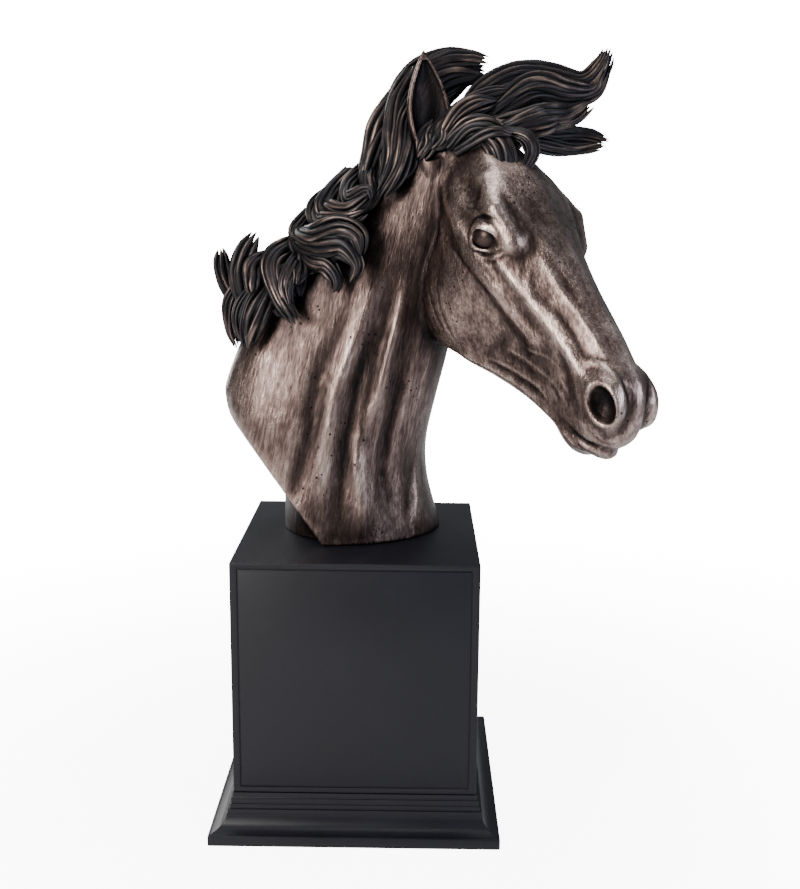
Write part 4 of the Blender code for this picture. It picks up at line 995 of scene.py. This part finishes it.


# Cold-cast bronze: resin filled with bronze powder, cast in a mould, burnished, then dark stain is left in the
# hollows. It looks like soft brown-grey metal on what stands out, and brown-black below. Shade in creases and
# between parts is painted into the colour as well.
def coldCastBronze():
    s = bronzeSettings
    material, tree, shader = newMaterial("cold cast bronze, burnished")
    place = addNode(tree, "ShaderNodeTexCoord").outputs["Object"]
    kept = {}
    for key in ("fineHollow", "wideHollow", "tone", "grain"):
        out = "Vector" if key == "grain" else "Fac"
        kept[key] = addNode(tree, "ShaderNodeAttribute", attribute_name=key).outputs[out]
    blotch = addNode(tree, noise, {"Vector": place, "Scale": s["blotch"], "Detail": 4.0})
    streak = addNode(tree, noise, {"Vector": kept["grain"], "Scale": s["streak"], "Detail": 5.0,
                                   "Roughness": .62})
    broad = addNode(tree, noise, {"Vector": kept["grain"], "Scale": s["broad"], "Detail": 3.0})
    speck = addNode(tree, noise, {"Vector": place, "Scale": s["speck"], "Detail": 2.0})
    pits = addNode(tree, "ShaderNodeTexVoronoi", {"Vector": place, "Scale": s["pits"]}, feature="F1")
    fields = addNode(tree, noise, {"Vector": place, "Scale": s["pitFields"], "Detail": 2.0})
    pits = addNode(tree, number, {0: pits, 1: s["pitSize"]}, operation="LESS_THAN")
    fields = addNode(tree, number, {0: fields, 1: s["pitLevel"]}, operation="GREATER_THAN")
    pitted = addNode(tree, number, {0: pits, 1: fields}, operation="MULTIPLY")
    # painted shade: ambient occlusion darkens the colour where the surroundings close in
    closed = addNode(tree, "ShaderNodeAmbientOcclusion", {"Distance": s["closed"]}, samples=8).outputs["AO"]
    levels = []
    for key, (weight, least, most) in s["hollows"].items():
        hollow = addNode(tree, number, {0: kept[key], 1: weight}, operation="MULTIPLY")
        levels.append(addNode(tree, "ShaderNodeClamp", {"Value": hollow, "Min": least, "Max": most}))
    level = addNode(tree, number, {0: levels[0], 1: levels[1]}, operation="ADD")
    # the level takes the stain and painted light of the mesh, the stains, the brush marks and the painted shade
    level = weighed(tree, level, ((kept["tone"], 0.0, .09), (blotch, .5, .45), (broad, .5, .60),
                                  (streak, .5, .75), (closed, .80, .75)))
    level = addNode(tree, number, {0: level, 1: s["level"]}, operation="ADD")
    dark = addNode(tree, number, {0: pitted, 1: .5}, operation="MULTIPLY")
    level = addNode(tree, number, {0: level, 1: dark}, operation="SUBTRACT", use_clamp=True)
    colour = addNode(tree, ramp, {"Fac": level}, s["stops"])
    tree.links.new(colour.outputs[0], shader.inputs["Base Color"])
    shader.inputs["Metallic"].default_value = s["metallic"]
    rough = addNode(tree, ramp, {"Fac": weighed(tree, level, [(speck, .5, .25)])}, s["rough"])
    tree.links.new(rough.outputs[0], shader.inputs["Roughness"])
    height = weighed(tree, streak, [(pitted, 0.0, -.6)])
    bump = addNode(tree, "ShaderNodeBump", {"Height": height, "Strength": .55, "Distance": .0008})
    bump = addNode(tree, "ShaderNodeBump", {"Height": speck, "Strength": .10, "Distance": .0002,
                                            "Normal": bump})
    tree.links.new(bump.outputs[0], shader.inputs["Normal"])
    return material


hairSettings = {
    "stops": [(.0, "#060607"), (.42, "#131217"), (.70, "#2a2120"), (.98, "#7b6a60")],
    "rough": [(.0, .5), (1.0, .33)], "metallic": .70,
    "patch": 45.0,          # places that the stain was rubbed off, 20 mm
    "speck": 700.0,         # bronze powder, 1.4 mm
    "near": .004, "far": .04,  # reach of the painted shade in the creases between strands and between locks, m
}


# The same casting under a heavier black stain, rubbed through on the crests of the hair. Shade between strands
# and between locks is painted into the colour as well.
def stainedHair():
    s = hairSettings
    material, tree, shader = newMaterial("cold cast bronze, black stain")
    place = addNode(tree, "ShaderNodeTexCoord").outputs["Object"]
    crest = addNode(tree, "ShaderNodeAttribute", attribute_name="crest").outputs["Fac"]
    groove = addNode(tree, "ShaderNodeAttribute", attribute_name="groove").outputs["Fac"]
    patch = addNode(tree, noise, {"Vector": place, "Scale": s["patch"], "Detail": 3.0})
    speck = addNode(tree, noise, {"Vector": place, "Scale": s["speck"], "Detail": 2.0})
    # painted shade: ambient occlusion darkens the colour between strands and between locks
    near = addNode(tree, "ShaderNodeAmbientOcclusion", {"Distance": s["near"]}, samples=8).outputs["AO"]
    far = addNode(tree, "ShaderNodeAmbientOcclusion", {"Distance": s["far"]}, samples=6).outputs["AO"]
    level = weighed(tree, 0.0, ((near, .80, 1.6), (far, .5, .55), (groove, .5, 1.6), (patch, .52, .9)))
    raised = addNode(tree, number, {0: crest, 1: .08}, operation="MULTIPLY")
    level = addNode(tree, number, {0: level, 1: raised}, operation="ADD", use_clamp=True)
    for key, stops in (("Base Color", s["stops"]), ("Roughness", s["rough"])):
        tree.links.new(addNode(tree, ramp, {"Fac": level}, stops).outputs[0], shader.inputs[key])
    shader.inputs["Metallic"].default_value = s["metallic"]
    bump = addNode(tree, "ShaderNodeBump", {"Height": speck, "Strength": .12, "Distance": .0002})
    tree.links.new(bump.outputs[0], shader.inputs["Normal"])
    return material


lacquerSettings = {"peel": 420.0, "cloud": 14.0, "boxRough": .46, "baseRough": .38}  # peel of 2.4 mm


# Satin black lacquer sprayed on smooth board: deep black, soft broad reflections, a very fine orange peel.
def satinLacquer(name, rough):
    s = lacquerSettings
    material, tree, shader = newMaterial(name)
    place = addNode(tree, "ShaderNodeTexCoord").outputs["Object"]
    peel = addNode(tree, noise, {"Vector": place, "Scale": s["peel"], "Detail": 2.0})
    cloud = addNode(tree, noise, {"Vector": place, "Scale": s["cloud"], "Detail": 3.0})
    for key, stops in (("Base Color", [(.3, "#09090f"), (.7, "#0c0c14")]),
                       ("Roughness", [(.3, rough - .03), (.7, rough + .04)])):
        tree.links.new(addNode(tree, ramp, {"Fac": cloud}, stops).outputs[0], shader.inputs[key])
    shader.inputs["IOR"].default_value = 1.45
    shader.inputs["Specular IOR Level"].default_value = .32
    bump = addNode(tree, "ShaderNodeBump", {"Height": peel, "Strength": .05, "Distance": .0003})
    tree.links.new(bump.outputs[0], shader.inputs["Normal"])
    return material


stageSettings = {
    # lamps: place, aimed at, width and height in metres, power in watts, colour
    "lamps": {
        "keySoftbox": ((-1.1, -1.25, 1.15), (.02, 0, .42), .7, 1.5, 66, "#fffaf5"),
        "fillSoftbox": ((1.5, -1.0, .9), (.05, 0, .40), .5, 1.3, 24, "#e4ecff"),
        "topSoftbox": ((.1, .1, 1.9), (.05, 0, .40), 1.0, 1.0, 14, "#ffffff"),
        "backStrip": ((-.9, 1.1, .9), (.0, 0, .42), .5, 1.4, 14, "#ffffff"),
    },
    "floorHalf": 6.0,
    "glowNear": 8.0, "glowFar": 16.0, "glowFrom": .16, "glowTo": 1.0,
    "backdrop": 16.0, "room": .26, "roomColour": (.9, .95, 1, 1),
    "camera": {"place": (.0437, -.9661, .4973), "turn": -.673, "dip": 11.74, "roll": .439, "lens": 48.94},
}


# Matt white paper, lit through for the eye alone, so that it runs on into the white behind it.
def paperFloor():
    s = stageSettings
    material, tree, shader = newMaterial("matt white paper")
    place = addNode(tree, "ShaderNodeTexCoord").outputs["Object"]
    cloud = addNode(tree, noise, {"Vector": place, "Scale": 3.0})
    paper = addNode(tree, ramp, {"Fac": cloud}, [(.3, "#f4f4f5"), (.7, "#f6f6f6")])
    tree.links.new(paper.outputs[0], shader.inputs["Base Color"])
    shader.inputs["Roughness"].default_value = .9
    away = addNode(tree, vector, {0: place}, operation="LENGTH").outputs["Value"]
    seen = addNode(tree, "ShaderNodeLightPath").outputs["Is Camera Ray"]
    glow = addNode(tree, "ShaderNodeMapRange", {
        "Value": away, "From Min": s["glowFrom"], "From Max": s["glowTo"], "To Min": s["glowNear"],
        "To Max": s["glowFar"]}, interpolation_type="SMOOTHSTEP")
    glow = addNode(tree, number, {0: glow, 1: seen}, operation="MULTIPLY")
    shader.inputs["Emission Color"].default_value = (1, 1, 1, 1)
    tree.links.new(glow.outputs[0], shader.inputs["Emission Strength"])
    return material


def makeLamps():
    for name, (place, aim, width, height, power, colour) in stageSettings["lamps"].items():
        data = bpy.data.lights.new(name, "AREA")
        data.shape, data.size, data.size_y, data.energy = "RECTANGLE", width, height, power
        data.color = hexColour(colour)[:3]
        lamp = linked(name, data)
        lamp.location = place
        lamp.rotation_euler = (Vector(aim) - Vector(place)).to_track_quat("-Z", "Y").to_euler()


# The camera sees a white backdrop, and the object a dim room.
def makeRoom():
    s = stageSettings
    world = bpy.data.worlds.new("studio")
    bpy.context.scene.world = world
    world.use_nodes = True
    tree = world.node_tree
    tree.nodes.clear()
    path = addNode(tree, "ShaderNodeLightPath").outputs["Is Camera Ray"]
    seen = addNode(tree, "ShaderNodeBackground", {"Color": (1, 1, 1, 1), "Strength": s["backdrop"]})
    felt = addNode(tree, "ShaderNodeBackground", {"Color": s["roomColour"], "Strength": s["room"]})
    both = addNode(tree, "ShaderNodeMixShader", {0: path, 1: felt, 2: seen})
    addNode(tree, "ShaderNodeOutputWorld", {"Surface": both})


def makeCamera():
    s = stageSettings["camera"]
    data = bpy.data.cameras.new("camera")
    data.lens, data.sensor_width, data.clip_start = s["lens"], 36, .05
    camera = linked("camera", data)
    yaw, dip = radians(s["turn"]), radians(s["dip"])
    ahead = Vector((sin(yaw) * cos(dip), cos(yaw) * cos(dip), -sin(dip)))
    turned = ahead.to_track_quat("-Z", "Y").to_matrix() @ Matrix.Rotation(radians(s["roll"]), 3, "Z")
    camera.matrix_world = Matrix.Translation(s["place"]) @ turned.to_4x4()
    bpy.context.scene.camera = camera


def makeStage():
    far = stageSettings["floorHalf"]
    floor = makeObject("floor", [(-far, -far, 0), (far, -far, 0), (far, far, 0), (-far, far, 0)],
                       [(0, 1, 2, 3)], False)
    floor.data.materials.append(paperFloor())
    makeLamps()
    makeRoom()
    makeCamera()


def dress(made, node, material):
    made.data.materials.clear()
    made.data.materials.append(material)
    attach(made, "root")
    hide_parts(node)


makeStage()
say("stage set")
chart = neckChart()
bronze, hair = coldCastBronze(), stainedHair()
for made, node, slotName, material in (
        (makeBox(), "plinth_box", "box_paint",
         satinLacquer("black satin lacquer, box", lacquerSettings["boxRough"])),
        (makeBase(), "plinth_base", "base_paint",
         satinLacquer("black satin lacquer, base", lacquerSettings["baseRough"]))):
    dress(made, node, material)
say("plinth made")
tree = strandTree(hair)
draw = np.random.default_rng(7)
hairPieces = {"forelock": [], "mane_locks": [], "mane_roots": []}
for name, (points, wide, strands) in clumps.items():
    piece = "forelock" if name.startswith(("fore", "tail", "curl")) else "mane_locks"
    hairPieces[piece] += dressedLock(points, wide, strands, draw)
hairPieces["mane_roots"] = rootLocks(draw)
for name, strands in hairPieces.items():
    dress(sweepLocks(name, strands, tree), "horse_bust", hair)
dress(makeEyes(), "horse_bust", bronze)
dress(makeSkin(), "horse_bust", bronze)
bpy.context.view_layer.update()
say("done")
